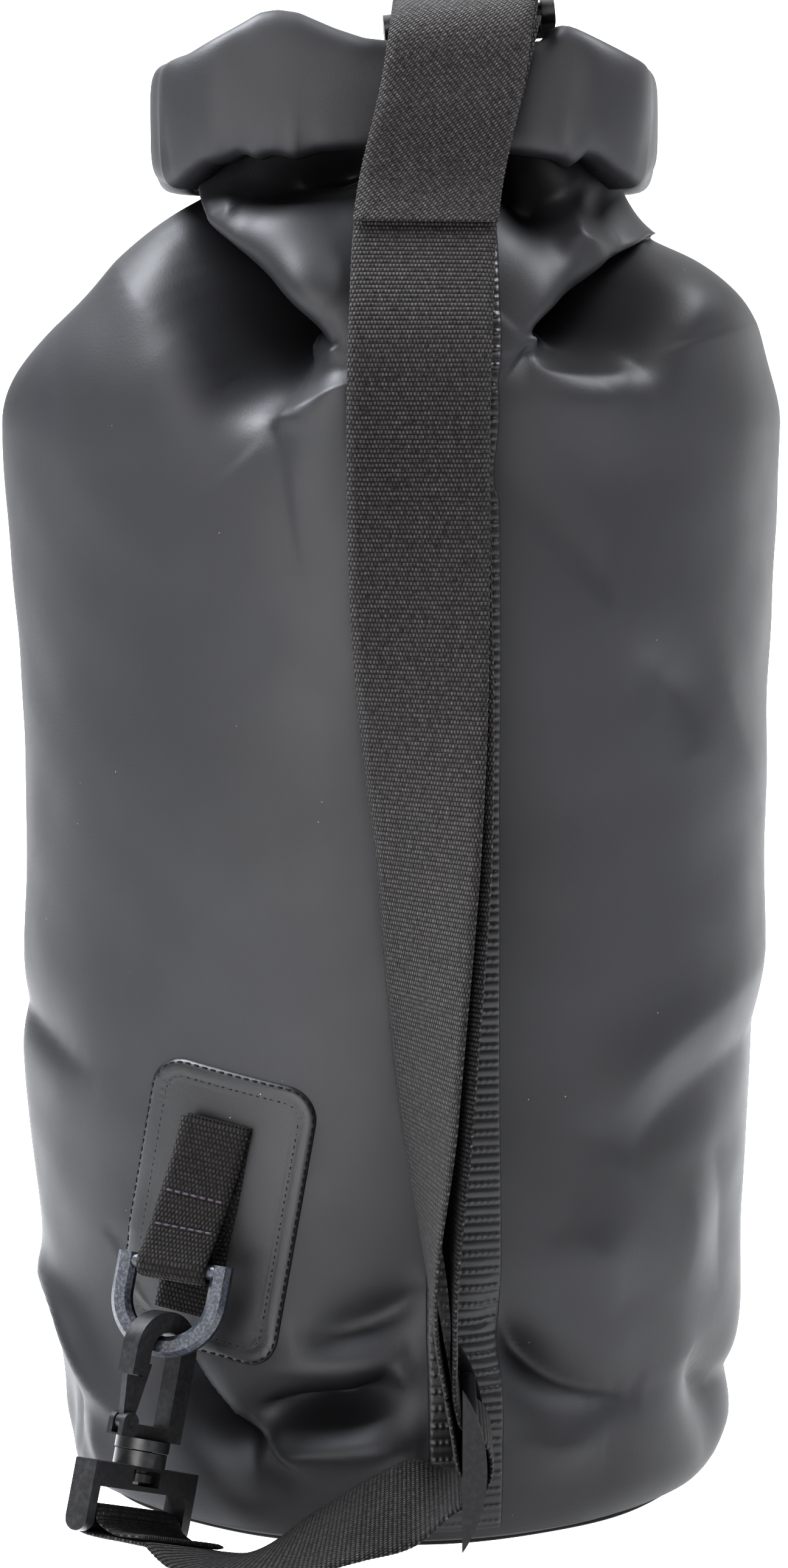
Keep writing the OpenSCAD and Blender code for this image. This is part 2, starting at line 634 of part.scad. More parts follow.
rear_weave = [
  at_slider(-weave_r - 0.8, end_bar_z + 18), at_slider(-weave_r - 0.1, end_bar_z + 1),
  at_slider(-weave_r * sin(45), end_bar_z - weave_r * cos(45)), at_slider(0.4, weave_z - 0.6),
  at_slider(swing_x * 0.72, weave_z * 0.6), at_slider(swing_x, 0), at_slider(swing_x * 0.72, -weave_z * 0.6),
  at_slider(0.4, 0.6 - weave_z), at_slider(-weave_r * sin(45), weave_r * cos(45) - end_bar_z)
];
// Places of the rear layer down the back: x, height, turn, and the front layer's lift from it
hang_list = [
  [7, shoulder_z + 18, 2, near_lift], [7, shoulder_z - 37, 10, near_lift],
  [12, belly_z - 20, 45, far_lift], [13, slider_z + 90, 66, far_lift]
];
front_route = concat(
  over_roll(1, near_lift), [for (h = hang_list) strap_station(h[0], h[1], h[2], h[3])], front_foot
);
rear_route = concat(over_roll(-1, 0), [for (h = hang_list) strap_station(h[0], h[1], h[2], 0)], rear_weave);
module strap_front_run() { color(webbing) ribbon(front_route, strap_w); }
module strap_rear_run() { color(webbing) ribbon(rear_route, strap_w); }

// Lower run: from the slider down to the ground and round to the lower hook
function rolled(v, a) = [v.x * cos(a) + v.z * sin(a), v.y, v.z * cos(a) - v.x * sin(a)];
function lower_dir(v) = turned(rolled(pitched(turned(v, base_turn), lower_lean), anchor_roll), anchor_turn);
end_out = lower_dir([0, -1, 0]);
end_side = lower_dir([1, 0, 0]);
end_down = lower_dir([0, 0, -1]);
end_bar = lower_bar + lower_dir([0, 0, strap_bar_z]);
end_place = end_bar + end_out * (end_tail + seat) + end_down * (loop_in_r + web_t / 2);
lower_route = [
  [end_place, end_side],
  [end_place + end_out * 8 + [0, 0, -1.5], unit(end_side + [0, 0, 0.15])],
  [[-26, slider_y - 6, 8], [0.2, 0.97, 0.05]],
  [[-8, slider_y - 3, 12], [0.05, 0.95, 0.28]],
  [[6, slider_y - 1, 19], [0, 0.95, 0.31]],
  [slider_mid + [-weave_r - 0.6, 0, -weave_z - 1.6], [0, 1, 0]]
];
module strap_lower_run() { color(webbing) ribbon(lower_route, strap_w); }

// Slider: two bowed side walls and three bars along Y
bow_radius = (pow(slider_h / 2, 2) + pow(slider_bow, 2)) / (2 * slider_bow);
slider_back = -(slider_bar_r + 0.2);
module slider_side() {
  intersection() {
    translate([slider_back + slider_bow - bow_radius, 0]) circle(bow_radius, $fn = 160);
    translate([slider_back, -slider_h / 2]) square([slider_bow, slider_h]);
  }
}
module slider() {
  color(plastic) translate(slider_mid) {
    for (side = [-1, 1])
      translate([0, side * (slider_reach + slider_wall / 2), 0]) rotate([90, 0, 0])
        linear_extrude(slider_wall, center = true) slider_side();
    for (z = [-end_bar_z, 0, end_bar_z])
      translate([0, 0, z]) rotate([90, 0, 0])
        cylinder(r = slider_bar_r, h = 2 * slider_reach + slider_wall, center = true, $fn = 48);
  }
}
module slider_loop() {
  color(webbing) translate(slider_mid) rotate([90, 0, 0])
    linear_extrude(strap_w, center = true) difference() {
      union() {
        circle(loop_r, $fn = 64);
        rotate(loop_lean) translate([-loop_r + tail_ease, 0]) square([web_t - 2 * tail_ease, loop_tail]);
      }
      circle(slider_bar_r + seat, $fn = 64);
    }
}

// Buckle: plug on the left, socket on the right, webbing upright between the ends of the roll
buckle_y = ring_y + ring_half_d - 3;
buckle_z = roll_mid_z - 3;
socket_x0 = ring_x - 4;
plug_x0 = socket_x0 - frame_gap;
bar_r = 1.8;
web_slot = 4.4;
prong_len = 22;
prong_t = 4;
prong_gap = 0.4;
prong_swell = 4;
prong_root = [plug_x0, buckle_h / 2 - 5.2 - prong_h / 2];
module at_buckle() { translate([0, buckle_y, buckle_z]) children(); }
module upright(t) { rotate([90, 0, 0]) linear_extrude(t, center = true) children(); }
module buckle_socket() {
  web_x = socket_len - bar_r * 2 - web_slot;
  cavity_h = 2 * (prong_root.y + prong_h / 2 + prong_gap);
  color(plastic) at_buckle() difference() {
    upright(socket_t) difference() {
      union() {
        translate([socket_x0, -buckle_h / 2 + 4]) square([socket_len, buckle_h - 8]);
        translate([socket_x0 + 4, -buckle_h / 2]) square([socket_len - 8, buckle_h]);
        for (x = [4, socket_len - 4], side = [-1, 1])
          translate([socket_x0 + x, side * (buckle_h / 2 - 4)]) circle(4, $fn = 48);
      }
      translate([socket_x0 + web_x, -buckle_web_w / 2 - 0.6]) square([web_slot, buckle_web_w + 1.2]);
    }
    translate([socket_x0 - 1, -prong_t / 2 - prong_gap, -cavity_h / 2])
      cube([prong_len + 2, prong_t + 2 * prong_gap, cavity_h]);
    translate([socket_x0 + 8, -prong_t / 2 - prong_gap, -buckle_h])
      cube([prong_len - 7, prong_t + 2 * prong_gap, 2 * buckle_h]);
  }
}
module buckle_plug() {
  color(plastic) at_buckle() {
    upright(socket_t - 1.5) difference() {
      union() {
        translate([plug_x0 - plug_len, -buckle_h / 2 + 4]) square([plug_len, buckle_h - 8]);
        translate([plug_x0 - plug_len + 4, -buckle_h / 2]) square([plug_len - 4, buckle_h]);
        for (side = [-1, 1])
          translate([plug_x0 - plug_len + 4, side * (buckle_h / 2 - 4)]) circle(4, $fn = 48);
      }
      translate([plug_x0 - plug_len + bar_r * 2, -buckle_web_w / 2 - 0.6]) square([web_slot, buckle_web_w + 1.2]);
    }
    translate([plug_x0 - 0.5, -prong_t / 2, -2]) cube([prong_len - 4, prong_t, 4]);
  }
}
// A prong springs from a round root and swells into the button that fills the socket's window
module prong() {
  upright(prong_t) {
    translate([prong_root.x + prong_h / 2 + prong_gap, prong_root.y]) circle(prong_h / 2, $fn = 48);
    translate([prong_root.x + prong_h / 2 + prong_gap, prong_root.y - prong_h / 2]) square([prong_len - 8, prong_h]);
    translate([prong_root.x + prong_len - 9, prong_root.y - prong_h / 2]) square([8, prong_h + prong_swell]);
  }
}
module buckle_prong_upper() { color(plastic) at_buckle() prong(); }
module buckle_prong_lower() { color(plastic) at_buckle() mirror([0, 0, 1]) prong(); }

// Closure webbing: from the end of the roll to its half of the buckle
module closure_web(bar_x, roll_angle) {
  start = ring_pt(roll_angle);
  side = sign(bar_x - ring_x);
  out = ring_out(roll_angle);
  lead = [start.x - side * 0.8, start.y + 0.6];
  ribbon([
    [[lead.x, lead.y, buckle_z], [0, 0, 1]],
    [[(lead.x + bar_x) / 2 + side, (lead.y + buckle_y) / 2 + 0.8, buckle_z], [0, 0, 1]],
    [[bar_x + side * seat, buckle_y - 0.5, buckle_z], [0, 0, 1]]
  ], buckle_web_w);
}
socket_bar_x = socket_x0 + socket_len;
plug_bar_x = plug_x0 - plug_len;
module buckle_webbing_right() { color(webbing) closure_web(socket_bar_x, ring_start); }
module buckle_webbing_left() { color(webbing) closure_web(plug_bar_x, ring_start - ring_sweep); }

body_tube();
rolled_top();
mouth_stiffener();
base_panel();
back_seam_strip();
reinforcement_patch();
tab_webbing();
lower_d_ring();
lower_hook_body();
lower_hook_gate();
lower_swivel_base();
strap_end_loop();
strap_lower_run();
slider();
slider_loop();
strap_front_run();
strap_rear_run();
strap_top_loop();
upper_swivel_base();
upper_hook_body();
upper_hook_gate();
upper_d_ring();
upper_tab_webbing();
buckle_webbing_right();
buckle_webbing_left();
buckle_socket();
buckle_plug();
buckle_prong_upper();
buckle_prong_lower();
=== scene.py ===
import math

import bpy
import numpy as np
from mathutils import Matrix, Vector


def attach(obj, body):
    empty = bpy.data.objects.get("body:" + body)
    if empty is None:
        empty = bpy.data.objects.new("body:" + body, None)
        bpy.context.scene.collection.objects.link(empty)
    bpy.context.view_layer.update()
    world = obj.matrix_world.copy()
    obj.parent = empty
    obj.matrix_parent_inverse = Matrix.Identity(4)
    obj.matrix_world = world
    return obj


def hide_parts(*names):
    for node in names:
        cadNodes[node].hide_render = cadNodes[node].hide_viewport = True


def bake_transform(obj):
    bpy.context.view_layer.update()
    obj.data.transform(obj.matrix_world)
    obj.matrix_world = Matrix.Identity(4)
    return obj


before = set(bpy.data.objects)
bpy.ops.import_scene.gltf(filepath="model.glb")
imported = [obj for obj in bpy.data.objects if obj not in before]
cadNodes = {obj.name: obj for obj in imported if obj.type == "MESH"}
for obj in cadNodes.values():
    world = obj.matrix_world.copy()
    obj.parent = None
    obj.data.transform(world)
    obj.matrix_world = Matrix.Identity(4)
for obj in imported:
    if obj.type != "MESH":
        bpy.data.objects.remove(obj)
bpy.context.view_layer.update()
mm = 0.001  # shapes below are worked out in millimetres and turned into metres here


def ease(t):
    t = np.clip(t, 0.0, 1.0)
    return t * t * (3 - 2 * t)


def bell(d, reach):
    return np.exp(-((d / reach) ** 2))


def mix(a, b, t):
    return a + (b - a) * t


def unit(v):
    v = np.asarray(v, float)
    return v / np.linalg.norm(v, axis=-1, keepdims=True)


def superRadius(halfWidth, halfDepth, power, angle):
    across = np.abs(np.cos(angle)) / halfWidth
    along = np.abs(np.sin(angle)) / halfDepth
    return (across ** power + along ** power) ** (-1 / power)


def ripple(points, wavelength, seed, count=14):
    dice = np.random.default_rng(seed)  # a soft unevenness, the same each run
    total = np.zeros(points.shape[:-1])
    for _ in range(count):
        way = unit(dice.normal(size=3)) * (2 * math.pi / (wavelength * dice.uniform(0.75, 1.35)))
        total = total + np.cos(points @ way + dice.uniform(0, 2 * math.pi))
    return total / math.sqrt(count)


def gridFaces(rows, cols, closed=False, offset=0):
    across = cols if closed else cols - 1
    r, c = np.meshgrid(np.arange(rows - 1), np.arange(across), indexing="ij")
    a = r * cols + c
    b = r * cols + (c + 1) % cols
    return (np.stack([a, b, b + cols, a + cols], axis=-1).reshape(-1, 4) + offset).tolist()


def fanCaps(cols, last, foot, crown):
    caps = []  # closes the first ring to the point foot and the last ring to the point crown
    for i in range(cols):
        j = (i + 1) % cols
        caps += [[foot, j, i], [crown, last + i, last + j]]
    return caps


def stripCaps(cols, last):
    caps = []  # closes both ends of a strip whose ring runs out along one face and back along the other
    for i in range(cols // 2 - 1):
        a, b, c, d = i, i + 1, cols - 2 - i, cols - 1 - i
        caps += [[a, d, c, b], [last + a, last + b, last + c, last + d]]
    return caps


def lengthAlong(points):
    return np.concatenate([[0], np.cumsum(np.linalg.norm(np.diff(points, axis=0), axis=1))])


def addMesh(name, points, faces, material):
    mesh = bpy.data.meshes.new(name)
    mesh.from_pydata((np.asarray(points).reshape(-1, 3) * mm).tolist(), [], faces)
    mesh.validate()
    mesh.polygons.foreach_set("use_smooth", np.ones(len(mesh.polygons), bool))
    mesh.materials.append(material)
    piece = bpy.data.objects.new(name, mesh)
    bpy.context.scene.collection.objects.link(piece)
    return piece


# Materials
def startMaterial(name, color, roughness, specular):
    material = bpy.data.materials.new(name)
    material.use_nodes = True
    tree = material.node_tree
    shader = tree.nodes["Principled BSDF"]
    shader.inputs["Base Color"].default_value = (*color, 1)
    shader.inputs["Roughness"].default_value = roughness
    shader.inputs["Specular IOR Level"].default_value = specular
    return material, tree, shader


def addNode(tree, kind, settings=None, **inputs):
    made = tree.nodes.new(kind)
    for key, value in (settings or {}).items():
        setattr(made, key, value)
    for key, value in inputs.items():
        socket = made.inputs[int(key[1:])] if key[0] == "i" and key[1:].isdigit() else made.inputs[key]
        if isinstance(value, bpy.types.NodeSocket):
            tree.links.new(value, socket)
        else:
            socket.default_value = value
    return made


def calc(tree, operation, a, b=0.0):
    return addNode(tree, "ShaderNodeMath", {"operation": operation}, i0=a, i1=b).outputs[0]


def ramp(tree, value, low, high):
    made = addNode(tree, "ShaderNodeMapRange", {"clamp": True}, Value=value)
    made.inputs["From Min"].default_value = low
    made.inputs["From Max"].default_value = high
    return made.outputs[0]


def mixColor(tree, share, first, second):
    made = addNode(tree, "ShaderNodeMix", {"data_type": "RGBA"})
    for socket, value in ((made.inputs[0], share), (made.inputs[6], first), (made.inputs[7], second)):
        if isinstance(value, bpy.types.NodeSocket):
            tree.links.new(value, socket)
        elif isinstance(value, tuple):
            socket.default_value = (*value, 1)
        else:
            socket.default_value = value
    return made.outputs[2]


def noise(tree, place, scale, detail=2.0):
    return addNode(tree, "ShaderNodeTexNoise", None, Vector=place, Scale=scale, Detail=detail).outputs[0]


def addBump(tree, shader, height, strength, depth):
    bump = addNode(tree, "ShaderNodeBump", None, Height=height, Strength=strength, Distance=depth)
    tree.links.new(bump.outputs[0], shader.inputs["Normal"])


def wornRoughness(tree, shader, wear, low, high):
    spread = addNode(tree, "ShaderNodeMapRange", {"clamp": True}, Value=wear)
    spread.inputs["To Min"].default_value = low
    spread.inputs["To Max"].default_value = high
    tree.links.new(spread.outputs[0], shader.inputs["Roughness"])


def tarpaulin(name, dark, light, roughness):
    material, tree, shader = startMaterial(name, dark, roughness, 0.42)
    place = addNode(tree, "ShaderNodeTexCoord").outputs["Object"]
    cloud = noise(tree, place, 14.0, 3.0)
    tone = mixColor(tree, ramp(tree, cloud, 0.35, 0.68), dark, light)
    cells = addNode(tree, "ShaderNodeTexVoronoi", None, Vector=place, Scale=150.0)
    dot = calc(tree, "LESS_THAN", cells.outputs["Distance"], 0.028)
    some = calc(tree, "GREATER_THAN", noise(tree, place, 60.0, 1.0), 0.6)
    speck = calc(tree, "MULTIPLY", calc(tree, "MULTIPLY", dot, some), 0.5)
    tree.links.new(mixColor(tree, speck, tone, (0.3, 0.3, 0.3)), shader.inputs["Base Color"])
    grain = noise(tree, place, 1500.0, 3.0)
    wornRoughness(tree, shader, noise(tree, place, 40.0, 3.0), roughness - 0.05, roughness + 0.08)
    addBump(tree, shader, grain, 0.35, 0.00012)
    return material


def webbing(name, dark, light, rowPitch, beadPitch, slant=0.0):
    material, tree, shader = startMaterial(name, dark, 0.75, 0.18)
    shader.inputs["Sheen Weight"].default_value = 0.05
    uv = addNode(tree, "ShaderNodeUVMap", {"uv_map": "weave"}).outputs[0]
    parts = addNode(tree, "ShaderNodeSeparateXYZ", None, Vector=uv)
    across, along = parts.outputs[0], parts.outputs[1]
    if slant:
        along = calc(tree, "ADD", along, calc(tree, "MULTIPLY", across, slant))
    rows = calc(tree, "DIVIDE", along, rowPitch)
    step = calc(tree, "MULTIPLY", calc(tree, "FLOOR", rows), 0.5)
    beads = calc(tree, "ADD", calc(tree, "DIVIDE", across, beadPitch), step)
    rowWave = calc(tree, "SINE", calc(tree, "MULTIPLY", calc(tree, "FRACT", rows), math.pi))
    beadWave = calc(tree, "SINE", calc(tree, "MULTIPLY", calc(tree, "FRACT", beads), math.pi))
    height = calc(tree, "MULTIPLY", rowWave, beadWave)
    place = addNode(tree, "ShaderNodeTexCoord").outputs["Object"]
    fuzz = noise(tree, place, 900.0, 2.0)
    # painted highlight: the raised crests of the weave are coloured lighter, broken up by fibre fuzz
    crestHighlight = calc(tree, "MULTIPLY", height, ramp(tree, fuzz, 0.2, 0.8))
    tree.links.new(mixColor(tree, crestHighlight, dark, light), shader.inputs["Base Color"])
    addBump(tree, shader, calc(tree, "ADD", height, calc(tree, "MULTIPLY", fuzz, 0.25)), 0.8, 0.0005)
    return material


def moulded(name, dark, light, roughness, grainScale, grain, specular=0.5):
    material, tree, shader = startMaterial(name, dark, roughness, specular)
    place = addNode(tree, "ShaderNodeTexCoord").outputs["Object"]
    fleck = noise(tree, place, grainScale, 3.0)
    tree.links.new(mixColor(tree, ramp(tree, fleck, 0.42, 0.75), dark, light), shader.inputs["Base Color"])
    wornRoughness(tree, shader, noise(tree, place, 90.0, 3.0), roughness - 0.07, roughness + 0.1)
    addBump(tree, shader, fleck, grain, 0.0002)
    return material


def stitchThread(name, color):
    material, tree, shader = startMaterial(name, color, 0.7, 0.3)
    place = addNode(tree, "ShaderNodeTexCoord").outputs["Object"]
    ply = noise(tree, place, 2500.0, 1.0)
    tone = mixColor(tree, ply, tuple(c * 0.6 for c in color), tuple(c * 1.5 for c in color))
    tree.links.new(tone, shader.inputs["Base Color"])
    addBump(tree, shader, ply, 0.5, 0.0002)
    return material


bagSkin = tarpaulin("bagSkin", (0.013, 0.013, 0.0145), (0.018, 0.018, 0.02), 0.57)
patchSkin = tarpaulin("patchSkin", (0.013, 0.013, 0.014), (0.018, 0.018, 0.019), 0.45)
strapWeave = webbing("strapWeave", (0.008, 0.0075, 0.0075), (0.078, 0.073, 0.073), 1.25, 0.95)
foldedWeave = webbing("foldedWeave", (0.012, 0.0112, 0.0112), (0.1, 0.094, 0.094), 0.9, 1.1, 0.55)
tabWeave = webbing("tabWeave", (0.007, 0.0065, 0.0065), (0.042, 0.038, 0.037), 1.35, 1.1)
hookPlastic = moulded("hookPlastic", (0.017, 0.017, 0.018), (0.03, 0.03, 0.031), 0.38, 700.0, 0.12)
sliderPlastic = moulded("sliderPlastic", (0.009, 0.009, 0.01), (0.015, 0.015, 0.016), 0.42, 700.0, 0.12,
                        specular=0.2)
ringPlastic = moulded("ringPlastic", (0.02, 0.022, 0.027), (0.06, 0.066, 0.078), 0.4, 1300.0, 0.3)
seamThread = stitchThread("seamThread", (0.05, 0.04, 0.052))
weldMark = stitchThread("weldMark", (0.006, 0.006, 0.0065))
print("materials ready")

# The bag's skin: a full tube drawn in under its roll
bagShape = {
    "tubeR": 100.0, "footHalfWidth": 98.0, "bellyHalfWidth": 107.0, "shoulderHalfWidth": 111.0,
    "footZ": 2.3, "hemZ": 15.0, "footPull": 7.0, "bellyZ": 212.0, "shoulderZ": 312.0,
    "round": 14.0, "coneLift": 6.0, "columns": 480, "wallRows": 170, "shoulderRows": 110,
    "dishRows": 16, "dishDepth": 26.0, "pleats": 9, "pleatHeight": 1.6,
}
rollShape = {
    "centre": (3.0, 4.0), "halfWidth": 60.0, "halfDepth": 58.0, "power": 3.4, "openAngle": 33.0, "z": 391.0,
    "core": 8.0, "inner": 1.7, "pitch": 4.8, "layer": 3.6, "turns": 2, "steps": 260, "halfHeight": 23.2,
}


def halfWidthAt(z):
    b = bagShape
    low = mix(b["footHalfWidth"], b["bellyHalfWidth"],
              np.sin(math.pi / 2 * np.clip((z - b["footZ"]) / (b["bellyZ"] - b["footZ"]), 0, 1)))
    high = mix(b["bellyHalfWidth"], b["shoulderHalfWidth"],
               ease((z - b["bellyZ"]) / (b["shoulderZ"] - b["bellyZ"])))
    return np.where(z < b["bellyZ"], low, high)


def halfDepthAt(z):
    return np.sqrt(2 * bagShape["tubeR"] ** 2 - halfWidthAt(z) ** 2) - 2 * (1 - ease(z / 60))


def wallRadius(angle, z):
    hem = np.clip((z - bagShape["footZ"]) / (bagShape["hemZ"] - bagShape["footZ"]), 0, 1)
    pull = bagShape["footPull"] * (1 - np.sqrt(1 - (1 - hem) ** 2))  # a round foot
    return superRadius(halfWidthAt(z), halfDepthAt(z), 2, angle) - pull


def ringRadius(angle):
    return superRadius(rollShape["halfWidth"], rollShape["halfDepth"], rollShape["power"], angle)


def roundMin(a, b, k):
    h = np.clip(0.5 + 0.5 * (b - a) / k, 0, 1)
    return mix(b, a, h) - k * h * (1 - h)


def atBack(angle):
    return ease(-np.sin(angle) * 2)


def rollLow(angle):
    return rollShape["z"] - rollShape["halfHeight"] * (0.95 - 0.4 * atBack(angle))


def neckHeight(angle):
    scoop = ease((np.sin(angle) - math.cos(math.radians(rollShape["openAngle"]))) / 0.12)
    return rollLow(angle) + 3 * atBack(angle) - 0.5 - 20 * scoop


# Each fold: a line in x and z, its height along that line, its reach to the left and right of its way,
# how far its steep flank leans over it, and where given how its reach opens along the line
backFolds = [
    ([(-62, 372), (-56.5, 368), (-50.5, 358.5), (-42.2, 352), (-35.2, 345.4), (-29.3, 339), (-23, 333.4),
      (-16, 327)],
     [-8, -18, -34, -46, -50, -42, -24, 0], 5, 25, 5.0, [0.25, 0.35, 0.55, 0.8, 1, 1, 0.8, 0.5]),
    ([(-46, 366), (-38, 357), (-30, 349), (-23, 342), (-17, 336)], [1, 4, 5, 4, 0], 13, 5, 0.0),
    ([(-38, 338), (-34.5, 330), (-32, 321), (-30.3, 310)], [-8, -17, -15, 0], 7, 19, 0.0),
    ([(-32.5, 335), (-29.8, 329), (-27.3, 322.8)], [0, 9, 0], 3, 3, 0.0),
    ([(-80, 354), (-70, 340), (-60, 328), (-50, 318)], [1, 3, 3, 0], 8, 12, 0.0),
    ([(-33, 306), (-30.3, 308.6), (-25.4, 311.6), (-20.5, 313.8), (-12.5, 317.4), (4, 321)],
     [0, 4, 8, 8, 7, 0], 4, 15, 0.0),
    ([(-41, 366.5), (-27.7, 371.5), (-17.8, 373.2), (-4, 377)], [0, -24, -27, -15], 10, 5, 0.0),
    ([(-43.8, 364.5), (-36, 366), (-29.4, 364.2), (-21, 365), (-10, 367)], [1, 4, 5, 4, 0], 3.5, 9, 0.0),
    ([(33, 379), (35, 375.5), (39, 368.2), (42.3, 363.3), (48.5, 360.3)],
     [-14, -22, -24, -17, 0], 6, 9, 0.0),
    ([(43, 362), (45.5, 360.3), (49.6, 357.3), (55.5, 356.5), (64, 357.5)], [0, 4, 5, 4, 0], 3, 8, 0.0),
    ([(74, 356), (70.2, 353.6), (62, 348.6), (56.5, 343.7), (49.6, 339), (42, 334), (37.7, 330)],
     [-6, -14, -32, -46, -46, -26, 0], 18, 5, 5.0, [0.3, 0.35, 0.6, 0.85, 0.9, 0.7, 0.5]),
    ([(35, 326), (38.8, 321.5), (44, 320.2), (50.5, 319.8), (59.7, 320), (66, 323)],
     [0, 5, 7, 7, 5, 0], 3.5, 14, 0.0),
    ([(51.5, 337), (50.4, 331.6), (49.3, 326.8)], [0, 9, 0], 2.5, 2.5, 0.0),
    ([(-27, 60), (-14, 62), (0, 68), (8, 76)], [0, -5, -5, 0], 7, 6, 0.0),
    ([(-40, 50), (-24, 53), (-8, 55), (4, 58)], [0, 4, 4, 0], 6, 6, 0.0),
    ([(-62, 54), (-53, 42), (-45, 34), (-36, 29)], [-4, -17, -19, -5], 4, 10, 4.0),
    ([(-38, 40), (-25, 43.5), (-11, 45.5), (1, 51)], [-4, -12, -12, 0], 4, 8, 3.0),
    ([(-40, 24), (-26, 28), (-8, 31), (8, 31)], [0, 6, 6, 0], 7, 12, 0.0),
    ([(-104, 62), (-92, 53), (-82, 38), (-72, 24)], [2, 6, 6, 0], 4, 10, 0.0),
    ([(-98, 48), (-93, 36), (-90, 18)], [-5, -7, -3], 5, 7, 0.0),
    ([(-84, 30), (-82, 18), (-81, 8)], [0, 4, 1], 4, 5, 0.0),
    ([(-112, 142), (-98, 134), (-80, 124)], [-2, -3, 0], 9, 5, 0.0),
    ([(57, 113), (66, 127), (80, 139), (100, 150)], [0, 3, 3, 1.5], 13, 9, 0.0),
    ([(64, 104), (76, 117), (92, 126), (108, 132)], [0, -3.5, -3.5, -2], 9, 15, 0.0),
    ([(82, 98), (84, 82), (82, 62)], [0, 1.5, 0], 9, 7, 0.0),
    ([(92, 100), (95, 80), (94, 60)], [-1.5, -2.5, -1], 6, 6, 0.0),
    ([(46, 88), (56, 80), (64, 66)], [0, 2.5, 0], 10, 9, 0.0),
    ([(30, 66), (36, 54), (48, 44), (70, 38)], [-4, -11, -8, -1], 9, 6, 0.0),
    ([(30, 30), (44, 28), (58, 26)], [0, 3.5, 0], 6, 8, 0.0),
    ([(84, 44), (93, 30), (104, 24)], [0, -6, -4], 6, 6, 0.0),
    ([(73, 240), (80, 232), (84, 216)], [-2, -2.6, 0], 7, 9, 0.0),
    ([(90, 238), (98, 214), (104, 196)], [1, 2.5, 1], 10, 10, 0.0),
]
frontFolds = [
    ([(66, 362), (50, 346), (36, 323), (30, 300)], [-18, -22, -17, 0], 24, 6, 4.0),
    ([(-66, 360), (-52, 341), (-40, 319), (-36, 298)], [-18, -22, -16, 0], 6, 24, 4.0),
    ([(-12, 350), (-8, 330), (-10, 300)], [-7, -9, 0], 10, 7, 0.0),
    ([(14, 352), (20, 334), (16, 306)], [4, 5, 0], 8, 9, 0.0),
    ([(88, 60), (80, 36), (76, 10)], [0, 6, 2], 6, 9, 0.0),
    ([(-60, 62), (-66, 34), (-64, 10)], [0, -6, -2], 7, 9, 0.0),
    ([(20, 58), (34, 40), (40, 12)], [0, -5, -2], 8, 6, 0.0),
    ([(-90, 130), (-70, 118), (-40, 116)], [-4, -5, 0], 9, 6, 0.0),
]
swells = [  # where the back stands out: height, then place and reach in x and in z
    (6, 4, 36, 340, 24), (6, -22, 14, 343, 16), (7, 16, 26, 364, 14), (4, 38, 10, 345, 14),
]
flanks = [  # swells to the sides: height, side, start and rise in x, place and reach in z
    (3.5, -1, 60, 40, 125, 45), (-6, 1, 48, 14, 366, 14), (8, 1, 60, 18, 340, 15), (-3, -1, 50, 14, 366, 9),
]
crumples = {  # wavelength, seed and height of the uneven skin, and where the strong ones die away
    "low": (44, 5, 1.5), "broad": (95, 3, 0.9), "fine": (28, 9, 0.14), "lowFrom": 8, "lowReach": 85,
}


def foldTrack(path, heights, spread, parts=5):
    knots = np.column_stack([np.array(path, float), np.array(heights, float), np.array(spread, float)])
    padded = np.concatenate([2 * knots[:1] - knots[1:2], knots, 2 * knots[-1:] - knots[-2:-1]])
    track = [knots[0]]
    for a, b, c, d in zip(padded[:-3], padded[1:-2], padded[2:-1], padded[3:]):
        for t in np.arange(1, parts + 1) / parts:
            bend = 2 * a - 5 * b + 4 * c - d + t * (3 * (b - c) + d - a)
            track.append(b + 0.5 * t * (c - a + t * bend))
    return np.array(track)


def crease(x, z, path, heights, left, right, lean, spread=None):
    track = foldTrack(path, heights, spread or [1] * len(path))
    low, high = track.min(axis=0) - 3 * max(left, right), track.max(axis=0) + 3 * max(left, right)
    near = (x > low[0]) & (x < high[0]) & (z > low[1]) & (z < high[1])
    result = np.zeros((3, *x.shape))
    px, pz = x[near], z[near]
    a, b = track[:-1, :, None], track[1:, :, None]
    lx, lz = b[:, 0] - a[:, 0], b[:, 1] - a[:, 1]
    t = np.clip(((px - a[:, 0]) * lx + (pz - a[:, 1]) * lz) / (lx * lx + lz * lz), 0, 1)
    dx, dz = px - a[:, 0] - t * lx, pz - a[:, 1] - t * lz
    gap = np.hypot(dx, dz)
    off = gap.min(axis=0)
    share = bell(gap - off, 0.7 + 0.2 * off)  # far from the line its stretches blend into each other
    share = share / share.sum(axis=0)
    side = (share * (lx * dz - lz * dx) / np.hypot(lx, lz)).sum(axis=0)
    height = (share * mix(a[:, 2], b[:, 2], t)).sum(axis=0)
    opening = (share * mix(a[:, 3], b[:, 3], t)).sum(axis=0)
    onLeft = ease(side / 3 + 0.5)
    reach = mix(right, left, onLeft) * np.maximum(opening, 0.1)
    power = np.full(px.shape, 1.45)
    if lean:
        wideSide = onLeft if left > right else 1 - onLeft
        power = power + 0.55 * wideSide  # a dart has a flat floor and a brow
        steep = min(left, right)
        over = side if left < right else -side
        depth = np.abs(height) / np.abs(track[:, 2]).max()
        push = lean * depth * bell(over - steep, steep * 1.3) * ease(over / 2)
        result[1][near] = -push * (share * dx).sum(axis=0) / np.maximum(off, 0.1)
        result[2][near] = -push * (share * dz).sum(axis=0) / np.maximum(off, 0.1)
    result[0][near] = height * np.exp(-((off / reach) ** power))
    return result


